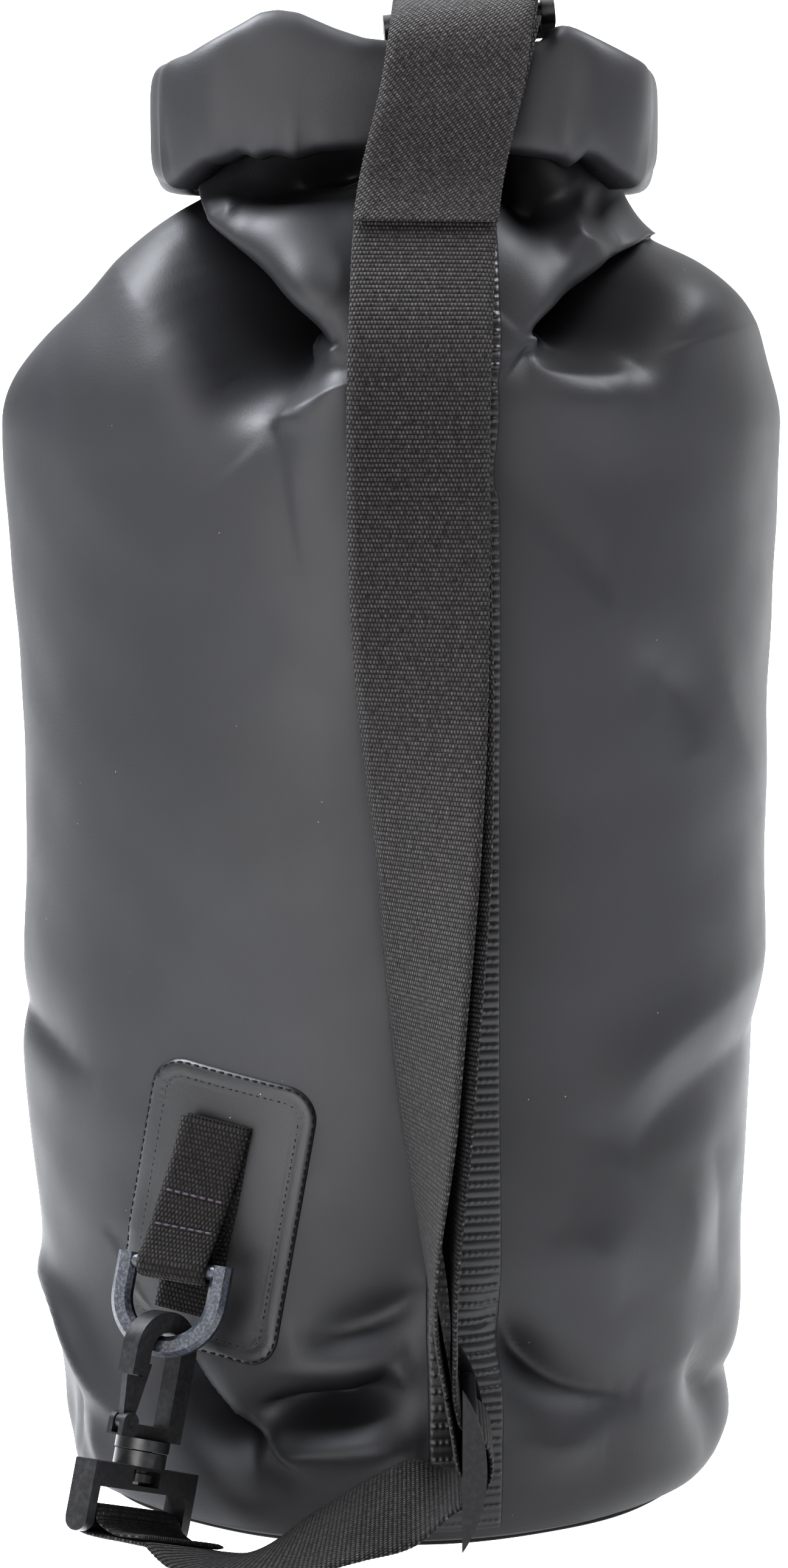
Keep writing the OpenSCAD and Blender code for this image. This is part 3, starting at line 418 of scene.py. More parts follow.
def skinRelief(points):
    x, y, z = points[..., 0], points[..., 1], points[..., 2]
    behind = ease((18 - y) / 40)
    total = np.zeros((3, *x.shape))
    for fold in backFolds:
        total = total + crease(x, z, *fold) * behind
    for fold in frontFolds:
        total = total + crease(x, z, *fold) * (1 - behind)
    for height, midX, reachX, midZ, reachZ in swells:
        total[0] += height * bell(x - midX, reachX) * bell(z - midZ, reachZ) * behind
    for height, side, start, rise, midZ, reachZ in flanks:
        total[0] += height * ease((side * x - start) / rise) * bell(z - midZ, reachZ) * behind

    def uneven(key, at):
        wavelength, seed, height = crumples[key]
        return height * ripple(at, wavelength, seed)

    low = 1 - ease((z - crumples["lowFrom"]) / crumples["lowReach"])
    total[0] += uneven("low", points * (1, 1, 0.6)) * low * ease(z / 14)
    total[0] += uneven("broad", points) * ease(z / 40) + uneven("fine", points)
    return total


def skinPoint(angle, level, lift=0.0):
    b, c = bagShape, rollShape["centre"]
    z = b["footZ"] + np.clip(level, 0, 1) * (b["shoulderZ"] - b["footZ"])
    s = np.clip(level - 1, 0, 1)
    neck = neckHeight(angle)
    z = z + s * (neck - b["shoulderZ"])
    wall = wallRadius(angle, np.minimum(z, b["shoulderZ"]))
    cone = mix(wallRadius(angle, b["shoulderZ"]) + b["coneLift"], ringRadius(angle),
               (z - b["shoulderZ"]) / (neck - b["shoulderZ"]))
    radius = roundMin(wall, cone, b["round"])
    turn = np.stack([np.cos(angle), np.sin(angle), np.zeros_like(angle)], axis=-1)
    centre = ease(s)[..., None] * np.array([c[0], c[1], 0])
    plain = centre + radius[..., None] * turn + z[..., None] * np.array([0, 0, 1])
    relief, shiftX, shiftZ = skinRelief(plain)
    tuck = 1 - ease((s - 0.88) / 0.12)  # what stands out dies away where the skin goes into the roll
    relief = np.where(relief > 0, relief * tuck, relief)
    shift = np.stack([shiftX * tuck, np.zeros_like(angle), shiftZ * tuck], axis=-1)
    return plain + turn * (relief + lift)[..., None] + shift


def levelAt(z):
    return (z - bagShape["footZ"]) / (bagShape["shoulderZ"] - bagShape["footZ"])


def onBack(x, z, lift=0.0):
    angle = np.full(np.shape(x), -math.pi / 2)
    level = levelAt(np.asarray(z, float))
    for _ in range(7):
        p = skinPoint(angle, level)
        r = np.hypot(p[..., 0], p[..., 1])
        angle = -np.arccos(np.clip(x / r, -1, 1))
    return skinPoint(angle, level, lift)


def makeBag():
    b = bagShape
    angles = np.arange(b["columns"]) / b["columns"] * 2 * math.pi
    levels = np.concatenate([np.linspace(0, 1, b["wallRows"], endpoint=False),
                             np.linspace(1, 2, b["shoulderRows"])])
    level, angle = np.meshgrid(levels, angles, indexing="ij")
    skin = skinPoint(angle, level)
    top = skin[-1]
    c = rollShape["centre"]
    rows = []
    for q in np.linspace(0, 0.97, b["dishRows"] + 1)[1:]:
        pleat = b["pleatHeight"] * np.cos(b["pleats"] * angles + 3 * q) * math.sin(math.pi * q)
        row = np.stack([mix(top[:, 0], c[0], q), mix(top[:, 1], c[1], q),
                        top[:, 2] - b["dishDepth"] * ease(q * 1.2) + pleat], axis=-1)
        rows.append(row)
    points = np.concatenate([skin, np.array(rows)])
    count, cols = points.shape[:2]
    faces = gridFaces(count, cols, closed=True)
    flat = points.reshape(-1, 3)
    foot, crown = len(flat), len(flat) + 1
    flat = np.concatenate([flat, [[0, 0, b["footZ"]]], [flat[-cols:].mean(axis=0)]])
    faces += fanCaps(cols, (count - 1) * cols, foot, crown)
    piece = addMesh("bagBody", flat, faces, bagSkin)
    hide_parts("body_tube")
    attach(piece, "bag")


makeBag()
print("bag body made")

# The base panel, turned from its profile of radius and height, with a slightly uneven lip
baseLook = {
    "profile": [(70, 0), (88, 0), (89.4, 0.2), (90.2, 0.9), (90, 1.7), (89, 2.05), (87, 2.1)],
    "thick": 2.1, "sides": 240, "lipFrom": 87.5, "wave": 0.35, "waves": 11,
}


def makeBase():
    b = baseLook
    angles = np.arange(b["sides"]) / b["sides"] * 2 * math.pi
    rings = []
    for r, z in b["profile"]:
        reach = r - b["wave"] * np.sin(b["waves"] * angles + 1) * (r > b["lipFrom"])
        height = np.full(b["sides"], z)
        rings.append(np.stack([reach * np.cos(angles), reach * np.sin(angles), height], axis=-1))
    faces = gridFaces(len(rings), b["sides"], closed=True)
    flat = np.concatenate([*rings, [[0, 0, 0]], [[0, 0, b["thick"]]]])
    faces += fanCaps(b["sides"], (len(rings) - 1) * b["sides"], len(flat) - 2, len(flat) - 1)
    piece = addMesh("basePanel", flat, faces, bagSkin)
    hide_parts("base_panel")
    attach(piece, "bag")


makeBase()
print("base made")

# The rolled top
rollLook = {  # top and lower edge of the roll seen from the back, as x and z
    "top": [(-72, 403.6), (-68, 404.6), (-62, 405), (-56, 406.4), (-45, 412.4), (-37, 416.9), (-32, 417.6),
            (-26, 416.8), (-16, 412.6), (-8, 410), (6, 408.5), (30, 408), (42, 409.5), (46, 413.6),
            (49, 413.2), (58, 409), (66, 405.4), (70, 404.4), (75, 402.6)],
    "low": [(-72, 378), (-67, 371.5), (-62, 369.5), (-57, 373), (-52, 376.5), (-46, 377.5), (-42, 379.4),
            (-38, 377.4), (-33, 378.9), (-27, 377.4), (-20, 379.6), (-12, 380), (10, 380), (25, 379.6),
            (33, 379), (44, 377.6), (49, 375.2), (52, 378.8), (57, 376.6), (60, 374.2), (64, 372),
            (69, 369.5), (73, 373), (76, 379)],
    "backPower": 5.0, "faceFlat": 0.36, "edgeFlat": 0.46, "cornerPinch": 2.4, "outward": 0.83,
    "turnStep": 7.5, "frontTop": 0.6, "frontLow": 0.95, "notchDepth": 1.6,
}


def ringPoint(angle):
    square = mix(rollShape["power"], rollLook["backPower"], ease(-np.sin(angle) * 1.6))
    radius = superRadius(rollShape["halfWidth"], rollShape["halfDepth"], square, angle)
    return np.array(rollShape["centre"]) + radius[..., None] * np.stack([np.cos(angle), np.sin(angle)], -1)


def edgeLine(x, key):
    line = np.array(rollLook[key])
    return sum(np.interp(x + shift, line[:, 0], line[:, 1]) for shift in (-0.8, 0, 0.8)) / 3


def makeRoll():
    r = rollShape
    span = math.radians(360 - 2 * r["openAngle"])
    angles = math.radians(90 - r["openAngle"]) - span * np.linspace(0, 1, r["steps"] + 1)
    p = ringPoint(angles)
    ahead = unit(ringPoint(angles - 0.01) - ringPoint(angles + 0.01))
    out = np.stack([-ahead[:, 1], ahead[:, 0]], axis=-1)
    turns = np.radians(np.arange(0, 360 * r["turns"] + 1, rollLook["turnStep"]))

    def layer(extra):
        d = r["inner"] + extra + r["pitch"] * turns / (2 * math.pi)
        s, c = np.sin(turns), np.cos(turns)
        wide = -d * np.sign(s) * np.abs(s) ** rollLook["faceFlat"]
        wide = np.where(wide > 0, wide * rollLook["outward"], wide)  # leaves room for the strap behind it
        high = -(r["core"] + d) * np.sign(c) * np.abs(c) ** rollLook["edgeFlat"]
        return wide, high

    outerWide, outerHigh = layer(r["layer"])
    innerWide, innerHigh = layer(0.0)
    wide = np.concatenate([outerWide, innerWide[::-1]])
    high = np.concatenate([outerHigh, innerHigh[::-1]])
    back = atBack(angles)
    reach = p[:, 0] + out[:, 0] * wide.max() * 0.9
    up = mix(rollLook["frontTop"], (edgeLine(reach, "top") - r["z"]) / high.max(), back)
    down = mix(rollLook["frontLow"], (edgeLine(reach, "low") - r["z"]) / high.min(), back)
    corner = bell(np.abs(np.sin(2 * angles)) - 1, 0.03) * (np.sin(angles) < 0)
    h = np.where(high > 0, high * up[:, None], high * down[:, None])
    lowShare = ease(-h / 14)
    x, y = (p[:, axis, None] + out[:, axis, None] * wide for axis in (0, 1))
    base = np.stack([x, y, r["z"] + h], axis=-1)
    dent = ripple(base * (1, 1, 0.35), 34, 21) * 0.25 + ripple(base, 80, 22) * 0.6
    dent = dent + corner[:, None] * rollLook["cornerPinch"]
    notch = np.gradient(down) / np.gradient(np.arange(len(down))) * 60
    dent = dent - lowShare * np.clip(np.abs(notch), 0, rollLook["notchDepth"])[:, None]
    side = np.sign(wide) * np.clip(np.abs(wide) / 5, 0, 1)
    base[..., 0] += out[:, 0, None] * dent * side
    base[..., 1] += out[:, 1, None] * dent * side
    n = len(wide)
    faces = gridFaces(len(angles), n, closed=True) + stripCaps(n, (len(angles) - 1) * n)
    piece = addMesh("rolledTop", base, faces, bagSkin)
    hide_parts("rolled_top")
    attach(piece, "bag")


makeRoll()
print("rolled top made")

# The welded back seam, with its rows of pressed dashes
seamLook = {
    "x": 19.6, "width": 21.0, "lift": 0.75, "rowPitch": 4.7, "dash": 1.75, "emboss": 0.5, "fineStep": 0.55,
    "startZ": 7.0, "endLevel": 1.9, "wallLength": 310.0, "neckLength": 82.0, "columns": 49,
}


def makeSeam():
    s = seamLook
    middle = -math.pi / 2 + math.asin(s["x"] / bagShape["tubeR"])
    wall = np.arange(levelAt(s["startZ"]), 1, s["fineStep"] / s["wallLength"])
    neck = np.arange(1, s["endLevel"], s["fineStep"] / s["neckLength"])
    levels = np.concatenate([wall, neck])
    across = np.linspace(-1, 1, s["columns"])
    level, u = np.meshgrid(levels, across, indexing="ij")
    near = skinPoint(np.full(levels.shape, middle), levels)
    radius = np.hypot(near[:, 0], near[:, 1])[:, None]
    angle = middle + u * s["width"] / 2 / radius
    length = lengthAlong(near)[:, None]
    row = np.abs((length / s["rowPitch"]) % 1 - 0.5) * s["rowPitch"]
    dash = 0.45 + 0.55 * np.cos(2 * math.pi * u * s["width"] / 2 / s["dash"])
    pressed = bell(row, 0.5) * dash - 0.7 * bell(row - 0.95, 0.5)
    relief = s["emboss"] * pressed * ease((1 - np.abs(u)) * 12)
    edge = ease((1 - np.abs(u)) * 14)
    face = skinPoint(angle, level, 0.12 + s["lift"] * edge + relief)
    under = skinPoint(angle, level, -0.6)
    ring = np.concatenate([face, under[:, ::-1]], axis=1)
    n = ring.shape[1]
    faces = gridFaces(len(levels), n, closed=True) + stripCaps(n, (len(levels) - 1) * n)
    piece = addMesh("backSeam", ring, faces, patchSkin)
    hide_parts("back_seam_strip")
    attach(piece, "bag")


makeSeam()
print("seam made")

# The welded patch
patchLook = {
    "x": -49.0, "z": 93.0, "width": 46.0, "height": 78.0, "lean": 10.0, "corner": 9.0, "thick": 1.0,
    "weldInset": 4.2, "step": 0.62,
    "dashRows": ((0.7, 2.3, 0.75), (4.6, 1.9, 0.78)),  # inset, pitch and lift
}
threadShape = {"sides": 6, "rings": ((-1.0, 0.35), (-0.6, 1.0), (0.6, 1.0), (1.0, 0.35))}  # place and size


def sewRows(name, lines, material, long=0.78, radius=0.33):
    points, faces = [], []
    sides, rings = threadShape["sides"], len(threadShape["rings"])
    for line in lines:
        for a, b in zip(line[:-1], line[1:]):
            way = unit(b - a)
            across = unit(np.cross(way, (0.3, 0.8, 0.5)))
            rise = np.cross(way, across)
            first = len(points)
            for share, size in threadShape["rings"]:
                middle = (a + b) / 2 + (b - a) / 2 * long * share
                for turn in np.arange(sides) / sides * 2 * math.pi:
                    spoke = math.cos(turn) * across + math.sin(turn) * rise
                    points.append(middle + radius * size * spoke)
            faces += gridFaces(rings, sides, closed=True, offset=first)
            last = first + (rings - 1) * sides
            faces += [[first + i for i in range(sides - 1, -1, -1)], [last + i for i in range(sides)]]
    piece = addMesh(name, points, faces, material)
    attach(piece, "bag")


def roundedInset(u, v, halfWidth, halfHeight, corner):
    qx, qy = np.abs(u) - halfWidth + corner, np.abs(v) - halfHeight + corner
    return corner - np.hypot(np.maximum(qx, 0), np.maximum(qy, 0)) - np.minimum(np.maximum(qx, qy), 0)


def onPatch(u, v, lift):
    p = patchLook
    lean = math.radians(p["lean"])
    x = p["x"] + u * math.cos(lean) + v * math.sin(lean)
    z = p["z"] - u * math.sin(lean) + v * math.cos(lean)
    return onBack(x, z, lift)


def makePatch():
    p = patchLook
    hw, hh = p["width"] / 2, p["height"] / 2
    cols, rows = int(p["width"] / p["step"]) | 1, int(p["height"] / p["step"]) | 1
    s, t = np.meshgrid(np.linspace(-1, 1, cols), np.linspace(-1, 1, rows))
    ring = np.maximum(np.maximum(np.abs(s), np.abs(t)), 1e-6)
    edgeU, edgeV = s / ring * hw, t / ring * hh
    midU, midV = hw - p["corner"], hh - p["corner"]
    cu, cv = np.abs(edgeU) - midU, np.abs(edgeV) - midV
    trim = np.where((cu > 0) & (cv > 0), p["corner"] / np.maximum(np.hypot(cu, cv), 1e-6), 1.0)
    u = ring * np.sign(s) * np.where(trim < 1, midU + cu * trim, np.abs(edgeU))
    v = ring * np.sign(t) * np.where(trim < 1, midV + cv * trim, np.abs(edgeV))
    inset = roundedInset(u, v, hw, hh, p["corner"])
    edge = ease(inset / 1.1)
    weld = bell(inset - p["weldInset"], 0.45) * (0.65 + 0.35 * np.cos((u + v) * 5.2)) * 0.4
    rim = bell(inset - 0.9, 0.5) * (0.5 + 0.5 * np.cos((u - v) * 4.6)) * 0.35
    sink = ease((inset - p["weldInset"]) / 1.5) * 0.25
    lift = 0.15 + p["thick"] * edge - weld - rim - sink
    face = onPatch(u, v, lift)
    under = onPatch(u, v, np.full(u.shape, -0.5))
    flat = np.concatenate([face.reshape(-1, 3), under.reshape(-1, 3)])
    count = rows * cols
    faces = gridFaces(rows, cols) + [f[::-1] for f in gridFaces(rows, cols, offset=count)]
    border = [*range(cols), *range(2 * cols - 1, count, cols), *range(count - 2, count - cols - 1, -1),
              *range(count - 2 * cols, 0, -cols)]
    for a, b in zip(border, border[1:] + border[:1]):
        faces.append([b, a, a + count, b + count])
    piece = addMesh("weldedPatch", flat, faces, patchSkin)
    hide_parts("reinforcement_patch")
    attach(piece, "bag")
    lines = []
    for inset, pitch, lift in p["dashRows"]:
        corner = p["corner"] - inset
        turn = np.radians(np.arange(0, 91, 6))
        arc = np.stack([corner * np.cos(turn) + midU, corner * np.sin(turn) + midV], axis=-1)
        loop = np.concatenate([arc, (arc * (-1, 1))[::-1], arc * (-1, -1), (arc * (1, -1))[::-1], arc[:1]])
        length = lengthAlong(loop)
        at = np.linspace(0, length[-1], int(length[-1] / pitch))
        dashU, dashV = (np.interp(at, length, loop[:, axis]) for axis in (0, 1))
        lines.append(onPatch(dashU, dashV, np.full(at.shape, lift)))
    sewRows("patchDashes", lines, weldMark, 0.62, 0.26)


makePatch()
print("patch made")

# Webbing: woven ribbons through stations of place and width direction
ribbonLook = {"thick": 1.5, "rowPitch": 1.25, "rowRelief": 0.13, "across": 15}


def alongStations(stations, step):
    places = np.array([s[0] for s in stations], float)
    sides = unit(np.array([s[1] for s in stations], float))
    gaps = np.linalg.norm(np.diff(places, axis=0), axis=1)

    def slopes(values):
        rate = np.diff(values, axis=0) / gaps[:, None]
        inner = (rate[1:] * gaps[:-1, None] + rate[:-1] * gaps[1:, None]) / (gaps[1:] + gaps[:-1])[:, None]
        return np.concatenate([rate[:1], inner, rate[-1:]])

    outPlaces, outSides = [], []
    placeSlope, sideSlope = slopes(places), slopes(sides)
    for i, gap in enumerate(gaps):
        n = max(2, int(round(gap / step)))
        t = np.arange(n + (i == len(gaps) - 1))[:, None] / n
        h = t * t * (3 - 2 * t)
        for values, slope, target in ((places, placeSlope, outPlaces), (sides, sideSlope, outSides)):
            target.append(values[i] + (values[i + 1] - values[i]) * h + slope[i] * gap * t * (1 - t) ** 2
                          - slope[i + 1] * gap * t * t * (1 - t))
    return np.concatenate(outPlaces), unit(np.concatenate(outSides))


def outwardOf(places, sides):
    return unit(np.cross(np.gradient(places, axis=0), sides))


def wovenRibbon(name, stations, width, material, startAlong=0.0):
    k = ribbonLook
    places, sides = alongStations(stations, k["rowPitch"] / 4)
    up = outwardOf(places, sides)
    along = startAlong + lengthAlong(places)
    u = np.linspace(-1, 1, k["across"])
    row = (np.abs(np.sin(math.pi * along / k["rowPitch"])) - 0.6) * k["rowRelief"]
    selvedge = k["thick"] / 2 * (0.35 + 0.65 * np.sqrt(np.clip(1 - np.abs(u) ** 14, 0, 1)))
    half = selvedge[None, :] + row[:, None] * (1 - np.abs(u) ** 20)[None, :]
    waver = 0.12 * np.sin(along * 2 * math.pi / k["rowPitch"])
    spread = u[None, :] * (width / 2 + waver[:, None] * (np.abs(u) > 0.99)[None, :])
    middle = places[:, None, :] + sides[:, None, :] * spread[..., None]
    face = middle + up[:, None, :] * half[..., None]
    rear = middle - up[:, None, :] * half[..., None]
    ring = np.concatenate([rear, face[:, ::-1]], axis=1)
    n = ring.shape[1]
    faces = gridFaces(len(places), n, closed=True) + stripCaps(n, (len(places) - 1) * n)
    piece = addMesh(name, ring, faces, material)
    layer = piece.data.uv_layers.new(name="weave")
    acrossMm = np.concatenate([spread, spread[:, ::-1]], axis=1).ravel()
    alongMm = np.repeat(along, n)
    index = np.zeros(len(piece.data.loops), int)
    piece.data.loops.foreach_get("vertex_index", index)
    uv = np.stack([acrossMm[index], alongMm[index]], axis=-1)
    layer.data.foreach_set("uv", uv.astype(np.float32).ravel())
    return piece, along[-1]


def roundBar(bar, right, up, radius, fromDeg, toDeg, side, count):
    bar, right, up = np.array(bar), np.array(right), np.array(up)
    return [(bar + radius * (math.cos(a) * right + math.sin(a) * up), side)
            for a in np.radians(np.linspace(fromDeg, toDeg, count))]


# The strap's route, with the rear layer against the bag and the front layer outside it
strapLook = {
    "width": 38.0, "slider": (20.0, -122.43, 38.0), "sliderLean": 10.0, "loopMid": 3.05, "barLoopMid": 3.65,
    "sewnFrom": 358.5, "sewnLift": 1.62, "sewnShift": 0.9, "sewnWidth": 38.6, "layer": 1.65,
    "endTail": 20.3, "topTail": 9.9, "sliderTail": 18.6,
}
edgeOn = (0.0, -1.0, 0.0)
flatOn = (1.0, 0.0, 0.05)
topSide = (0.9945, 0.0199, 0.1026)


def atSlider(right, up):
    x, y, z = strapLook["slider"]
    return (x + right, y, z + up), edgeOn


strapRoute = [  # place of the rear layer, place of the front layer, width direction
    ((10, -72.2, 372), (10, -75.2, 372), (1, 0, 0)),
    ((7, -89.78, 330), (6.9, -92.78, 330), (0.999, -0.035, 0)),
    ((7, -93.97, 275), (6.48, -96.92, 275), (0.985, -0.174, 0)),
    ((12, -108.01, 192), (8.82, -111.2, 192), (0.707, -0.707, 0)),
    ((13, -113.67, 128), (8.89, -115.5, 128), (0.407, -0.914, 0)),
]
rearRoute = [(station[0], station[2]) for station in strapRoute]
frontRoute = [(station[1], station[2]) for station in strapRoute]
sliderWrap = [(-2.3, 10.7), (0.4, 9.15), (3.92, 5.85), (5.45, 0), (3.92, -5.85), (0.4, -9.15), (-2.3, -10.7)]
frontTop = [((20.12, -53.35, 421.23), topSide), ((19.12, -69.2, 414.23), topSide),
            ((15.12, -73.7, 395), flatOn)]
rearTop = [((20.88, -54.73, 414.11), topSide), ((19.88, -66.2, 411.11), topSide),
           ((15.88, -70.7, 395), flatOn)]
frontUpper = [*frontTop, *frontRoute[:4]]
frontLower = [*frontRoute[3:], atSlider(-8.56, 31.51), atSlider(-6.29, 18.61)]
rearUpper = [*rearTop, *rearRoute[:4]]
rearLower = [*rearRoute[3:], atSlider(-4.05, 31), atSlider(-3.35, 14), *(atSlider(*p) for p in sliderWrap)]
lowerNear = [((17.7, -122.43, 27.3), (0, 1, 0)), ((15.6, -122.43, 26), (0, 1, 0)),
             ((6, -123.43, 23.5), (0, 0.95, 0.31)), ((-8, -125.43, 19), (0.03, 0.96, 0.27))]
lowerFar = [lowerNear[-1], ((-26, -128.43, 12.5), (0.15, 0.98, 0.12)),
            ((-48.68, -131.09, 9.88), (0.56, 0.81, -0.19)), ((-55.3, -126.6, 11.25), (0.534, 0.777, -0.332))]
endBar = np.array((-71.46, -114.16, 14.35))  # bar of the lower swivel frame, and the frame's own directions
endOut = np.array((0.8273, -0.5615, 0.0167))
endSide = np.array((0.5344, 0.7774, -0.3318))
endDown = np.array((-0.1733, -0.2834, -0.9432))
upperBar = np.array((20.5, 24.0, 402.5))  # bar of the upper D-ring, from which the upper hook reaches back
topBack = np.array((0, -0.981627, 0.190809))
topDown = np.array((0.104528, -0.189764, -0.97625))
topBar = upperBar + 69.6 * topBack


def strap(name, stations, startAlong=0.0, material=None, width=None):
    return wovenRibbon(name, stations, width or strapLook["width"], material or strapWeave,
                       startAlong)


def makeStrapRuns():
    k = strapLook
    piece, along = strap("strapFront", frontUpper)
    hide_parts("strap_front_run")
    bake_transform(piece)
    places, sides = alongStations(frontUpper, 4.0)
    doubled = [(p + o * k["sewnLift"] - (k["sewnShift"] * ease((p[2] - 395) / 20), 0, 0), s)
               for p, o, s in zip(places, outwardOf(places, sides), sides) if p[2] > k["sewnFrom"]]
    piece, _ = strap("strapSewnEnd", doubled, 0.0, foldedWeave, k["sewnWidth"])
    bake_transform(piece)
    piece, _ = strap("strapFrontFoot", frontLower, along)
    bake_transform(piece)
    piece, along = strap("strapRear", rearUpper)
    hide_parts("strap_rear_run")
    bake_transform(piece)
    piece, _ = strap("strapRearFoot", rearLower, along)
    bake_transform(piece)
    piece, along = strap("strapLower", lowerNear)
    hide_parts("strap_lower_run")
    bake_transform(piece)
    piece, _ = strap("strapLowerFar", lowerFar, along)
    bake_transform(piece)


def makeStrapLoops():
    k = strapLook
    r = k["barLoopMid"]
    tail = [(endBar + endOut * away + endDown * r, endSide) for away in (k["endTail"], 12)]
    loop = roundBar(endBar, endOut, -endDown, r, -85, -350, endSide, 16)
    backTail = [(endBar + endOut * away + endDown * (r - k["layer"]), endSide) for away in (8, 19)]
    piece, _ = strap("strapEndLoop", tail + loop + backTail)
    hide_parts("strap_end_loop")
    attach(piece, "lower_swivel")

    rise = -topDown
    upperTail = [(topBar + topBack * away + rise * r, topSide) for away in (k["topTail"], 5)]
    loop = roundBar(topBar, topBack, rise, r, 88, 272, topSide, 15)
    lowerTail = [(topBar + topBack * away - rise * r, topSide) for away in (5, k["topTail"])]
    piece, _ = strap("strapTopLoop", upperTail + loop + lowerTail)
    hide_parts("strap_top_loop")
    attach(piece, "upper_swivel")

    middle = np.array(k["slider"])
    lean = math.radians(k["sliderLean"])
    left = np.array((-math.cos(lean), 0, -math.sin(lean)))
    rise = np.array((-math.sin(lean), 0, math.cos(lean)))
    r = k["loopMid"]
    tail = [(middle + left * r + rise * away, edgeOn) for away in (k["sliderTail"], 8)]
    loop = roundBar(middle, left, rise, r, 0, -300, edgeOn, 18)
    piece, _ = strap("sliderLoop", tail + loop)
    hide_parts("slider_loop")
    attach(piece, "strap_slider")


makeStrapRuns()
makeStrapLoops()
print("strap made")

# The tab that holds the lower ring
tabLook = {
    "width": 20.0, "bar": (-59.4, -94.44, 80.0), "side": (0.937, -0.341, -0.07), "out": (-0.342, -0.94, 0.0),
    "flatSide": (0.93, -0.33, -0.16), "loopMid": 3.2,
    "base": ((-46.4, 118.6, 2.1), (-49.6, 100, 2.1), (-52.6, 84, 2.1), (-54.6, 70, 2.1), (-55.8, 64.5, 2.0)),
    "front": ((-46.6, 118.2, 3.8), (-48.6, 109, 4.3), (-50.6, 100, 5.6)),  # x and z on the back, lift off it
    "rear": ((-52.5, 92, 4.0), (-50.4, 101, 3.6)),
    "stitchRows": (98.0, 89.5), "stitchReach": 8.6, "stitchLift": 0.82,
}


def makeTab():
    t = tabLook
    side, out, bar = unit(t["side"]), unit(t["out"]), np.array(t["bar"])
    up = unit(np.cross(side, out) * -1)

    def onWall(key):
        x, z, lift = np.array(t[key]).T
        return [(place, t["flatSide"]) for place in onBack(x, z, lift)]

    piece, _ = wovenRibbon("tabBase", onWall("base"), t["width"] - 1, tabWeave)
    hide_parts("tab_webbing")
    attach(piece, "bag")
    front = onWall("front")
    loop = roundBar(bar, out, up, t["loopMid"], 58, -200, side, 14)
    piece, _ = wovenRibbon("tabLoop", front + loop + onWall("rear"), t["width"], tabWeave)
    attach(piece, "bag")
    places, sides = alongStations(front + loop[:3], 0.4)
    outward = outwardOf(places, sides)
    lines = []
    for level in t["stitchRows"]:
        i = int(np.abs(places[:, 2] - level).argmin())
        across = np.linspace(-t["stitchReach"], t["stitchReach"], 8)
        lines.append([places[i] + outward[i] * t["stitchLift"] + sides[i] * u for u in across])
    sewRows("tabStitches", lines, seamThread)


makeTab()

# The tab of the upper ring, hidden behind the roll
upperTabLook = {"width": 20.0, "loopMid": 3.15, "tail": (24.0, 0.85), "neck": (10.0, 0.9)}  # reach and rise


def makeUpperTab():
    k = upperTabLook
    side = (1, 0, 0)
    front, up = np.array((0, 1.0, -0.03)), np.array((0, 0.03, 1.0))
    stations = [(upperBar + front * away + up * rise, side) for away, rise in (k["tail"], k["neck"])]
    stations += roundBar(upperBar, front, up, k["loopMid"], 50, 310, side, 16)
    stations += [(upperBar + front * away - up * rise, side) for away, rise in (k["neck"], k["tail"])]
    piece, _ = wovenRibbon("upperTab", stations, k["width"], tabWeave)
    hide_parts("upper_tab_webbing")
    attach(piece, "bag")


makeUpperTab()

# Closure webbing beside the buckle
closureLook = {
    "width": 25.0, "z": 388.0, "y": 58.5, "endY": 58.4, "crown": 0.7,
    "sides": (("closureRight", "buckle_webbing_right", 31.3, 37.2, 1),  # name, node, bar and end in x, side
              ("closureLeft", "buckle_webbing_left", -14.6, -31.2, -1)),
}


def makeClosure():
    k = closureLook
    up = (0, 0, 1)
    for name, node, barX, endX, sign in k["sides"]:
        middle = (mix(endX, barX, 0.5) + sign, k["y"] + k["crown"], k["z"])
        stations = [((endX, k["endY"], k["z"]), up), (middle, up), ((barX, k["y"], k["z"]), up)]
        piece, _ = wovenRibbon(name, stations, k["width"], tabWeave)
        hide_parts(node)
        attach(piece, "bag")


makeClosure()
print("webbing made")

# Moulded pieces keep their CAD shape, with eased edges and a moulded finish
edgeLook = {"width": 0.5, "segments": 2, "fromDeg": 40}
for nodeName, node in cadNodes.items():
    if node.hide_render:
        continue
    finish = sliderPlastic if nodeName == "slider" else hookPlastic
    if nodeName.endswith("d_ring"):
        finish = ringPlastic
    node.data.materials.clear()
    node.data.materials.append(finish)
    bevel = node.modifiers.new("easedEdges", "BEVEL")
    bevel.width = edgeLook["width"] * mm
    bevel.segments = edgeLook["segments"]
    bevel.limit_method = "ANGLE"
    bevel.angle_limit = math.radians(edgeLook["fromDeg"])
    node.modifiers.new("evenShade", "WEIGHTED_NORMAL")

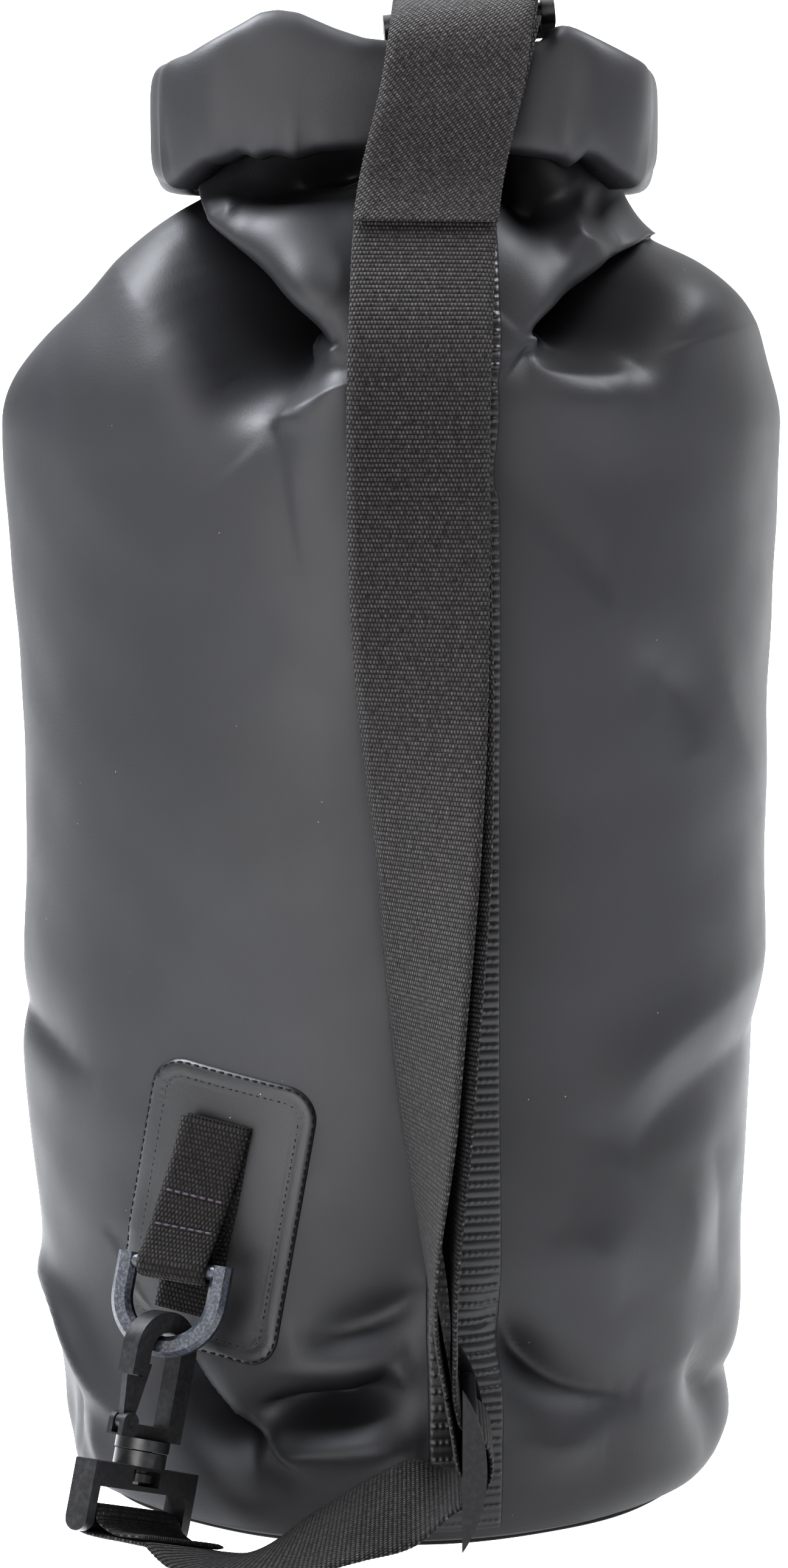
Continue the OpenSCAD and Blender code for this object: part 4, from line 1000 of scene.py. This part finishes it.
# Studio
studio = {
    "floorColor": (0.86, 0.86, 0.86), "floorGlow": 0.55, "world": (1.0, 1.0, 1.0),
    "backdrop": (-0.3, 0.35, 0.1, 1.0),  # brightness rises from 0.1 to 1 towards the far wall
    "sides": (0.2, 0.6, 1.0, 0.12),  # and falls again to either side of it
    "exposure": 0.42,
    "lights": [  # name, place, aim, size, power, colour
        ("topLeftSoftbox", (-0.95, 0.08, 1.75), (0, 0, 0.25), 0.8, 56.0, (0.93, 0.96, 1.0)),
        ("topRightSoftbox", (1.0, -0.1, 1.6), (0, 0, 0.25), 0.8, 30.0, (0.97, 0.98, 1.0)),
        ("frontSoftbox", (-0.5, -1.6, 0.6), (0, 0, 0.2), 1.1, 20.0, (1.0, 0.99, 0.98)),
        ("rearRightSoftbox", (1.2, 1.0, 0.45), (0, 0, 0.2), 0.8, 3.5, (1.0, 1.0, 1.0)),
    ],
    "camera": {"place": (0, -1.15, 0.351), "tilt": 82.5, "lens": 91.58},
}


def makeStudio():
    bpy.ops.mesh.primitive_plane_add(size=40, location=(0, 0, -0.0002))
    floor = bpy.context.object
    floor.name = "floor"
    material, tree, shader = startMaterial("floorPaint", studio["floorColor"], 0.7, 0.2)
    place = addNode(tree, "ShaderNodeTexCoord").outputs["Object"]
    light = studio["floorColor"]
    tone = mixColor(tree, noise(tree, place, 3.0), light, tuple(c * 1.03 for c in light))
    tree.links.new(tone, shader.inputs["Base Color"])
    shader.inputs["Emission Color"].default_value = (1, 1, 1, 1)
    shader.inputs["Emission Strength"].default_value = studio["floorGlow"]
    floor.data.materials.append(material)
    world = bpy.data.worlds.new("studioWorld")
    bpy.context.scene.world = world
    world.use_nodes = True
    tree = world.node_tree
    background = tree.nodes["Background"]
    background.inputs[0].default_value = (*studio["world"], 1)
    around = addNode(tree, "ShaderNodeTexCoord").outputs["Generated"]
    way = addNode(tree, "ShaderNodeSeparateXYZ", None, Vector=around)
    wall = addNode(tree, "ShaderNodeMapRange", {"interpolation_type": "SMOOTHSTEP"}, Value=way.outputs[1])
    edge = addNode(tree, "ShaderNodeMapRange", {"interpolation_type": "SMOOTHSTEP"},
                   Value=calc(tree, "ABSOLUTE", way.outputs[0]))
    for spread, values in ((wall, studio["backdrop"]), (edge, studio["sides"])):
        for key, value in zip(("From Min", "From Max", "To Min", "To Max"), values):
            spread.inputs[key].default_value = value
    tree.links.new(calc(tree, "MULTIPLY", wall.outputs[0], edge.outputs[0]), background.inputs[1])
    for name, place, target, size, power, color in studio["lights"]:
        data = bpy.data.lights.new(name, "AREA")
        data.size, data.energy, data.color = size, power, color
        lamp = bpy.data.objects.new(name, data)
        lamp.location = place
        lamp.rotation_euler = (Vector(target) - Vector(place)).to_track_quat("-Z", "Y").to_euler()
        bpy.context.scene.collection.objects.link(lamp)
    data = bpy.data.cameras.new("photoCamera")
    data.lens, data.sensor_width = studio["camera"]["lens"], 36.0
    camera = bpy.data.objects.new("photoCamera", data)
    camera.location = studio["camera"]["place"]
    camera.rotation_euler = (math.radians(studio["camera"]["tilt"]), 0, 0)
    bpy.context.scene.collection.objects.link(camera)
    bpy.context.scene.camera = camera
    bpy.context.scene.view_settings.view_transform = "Standard"
    bpy.context.scene.view_settings.look = "Very High Contrast"
    bpy.context.scene.view_settings.exposure = studio["exposure"]


makeStudio()
print("studio ready")

bpy.context.view_layer.update()
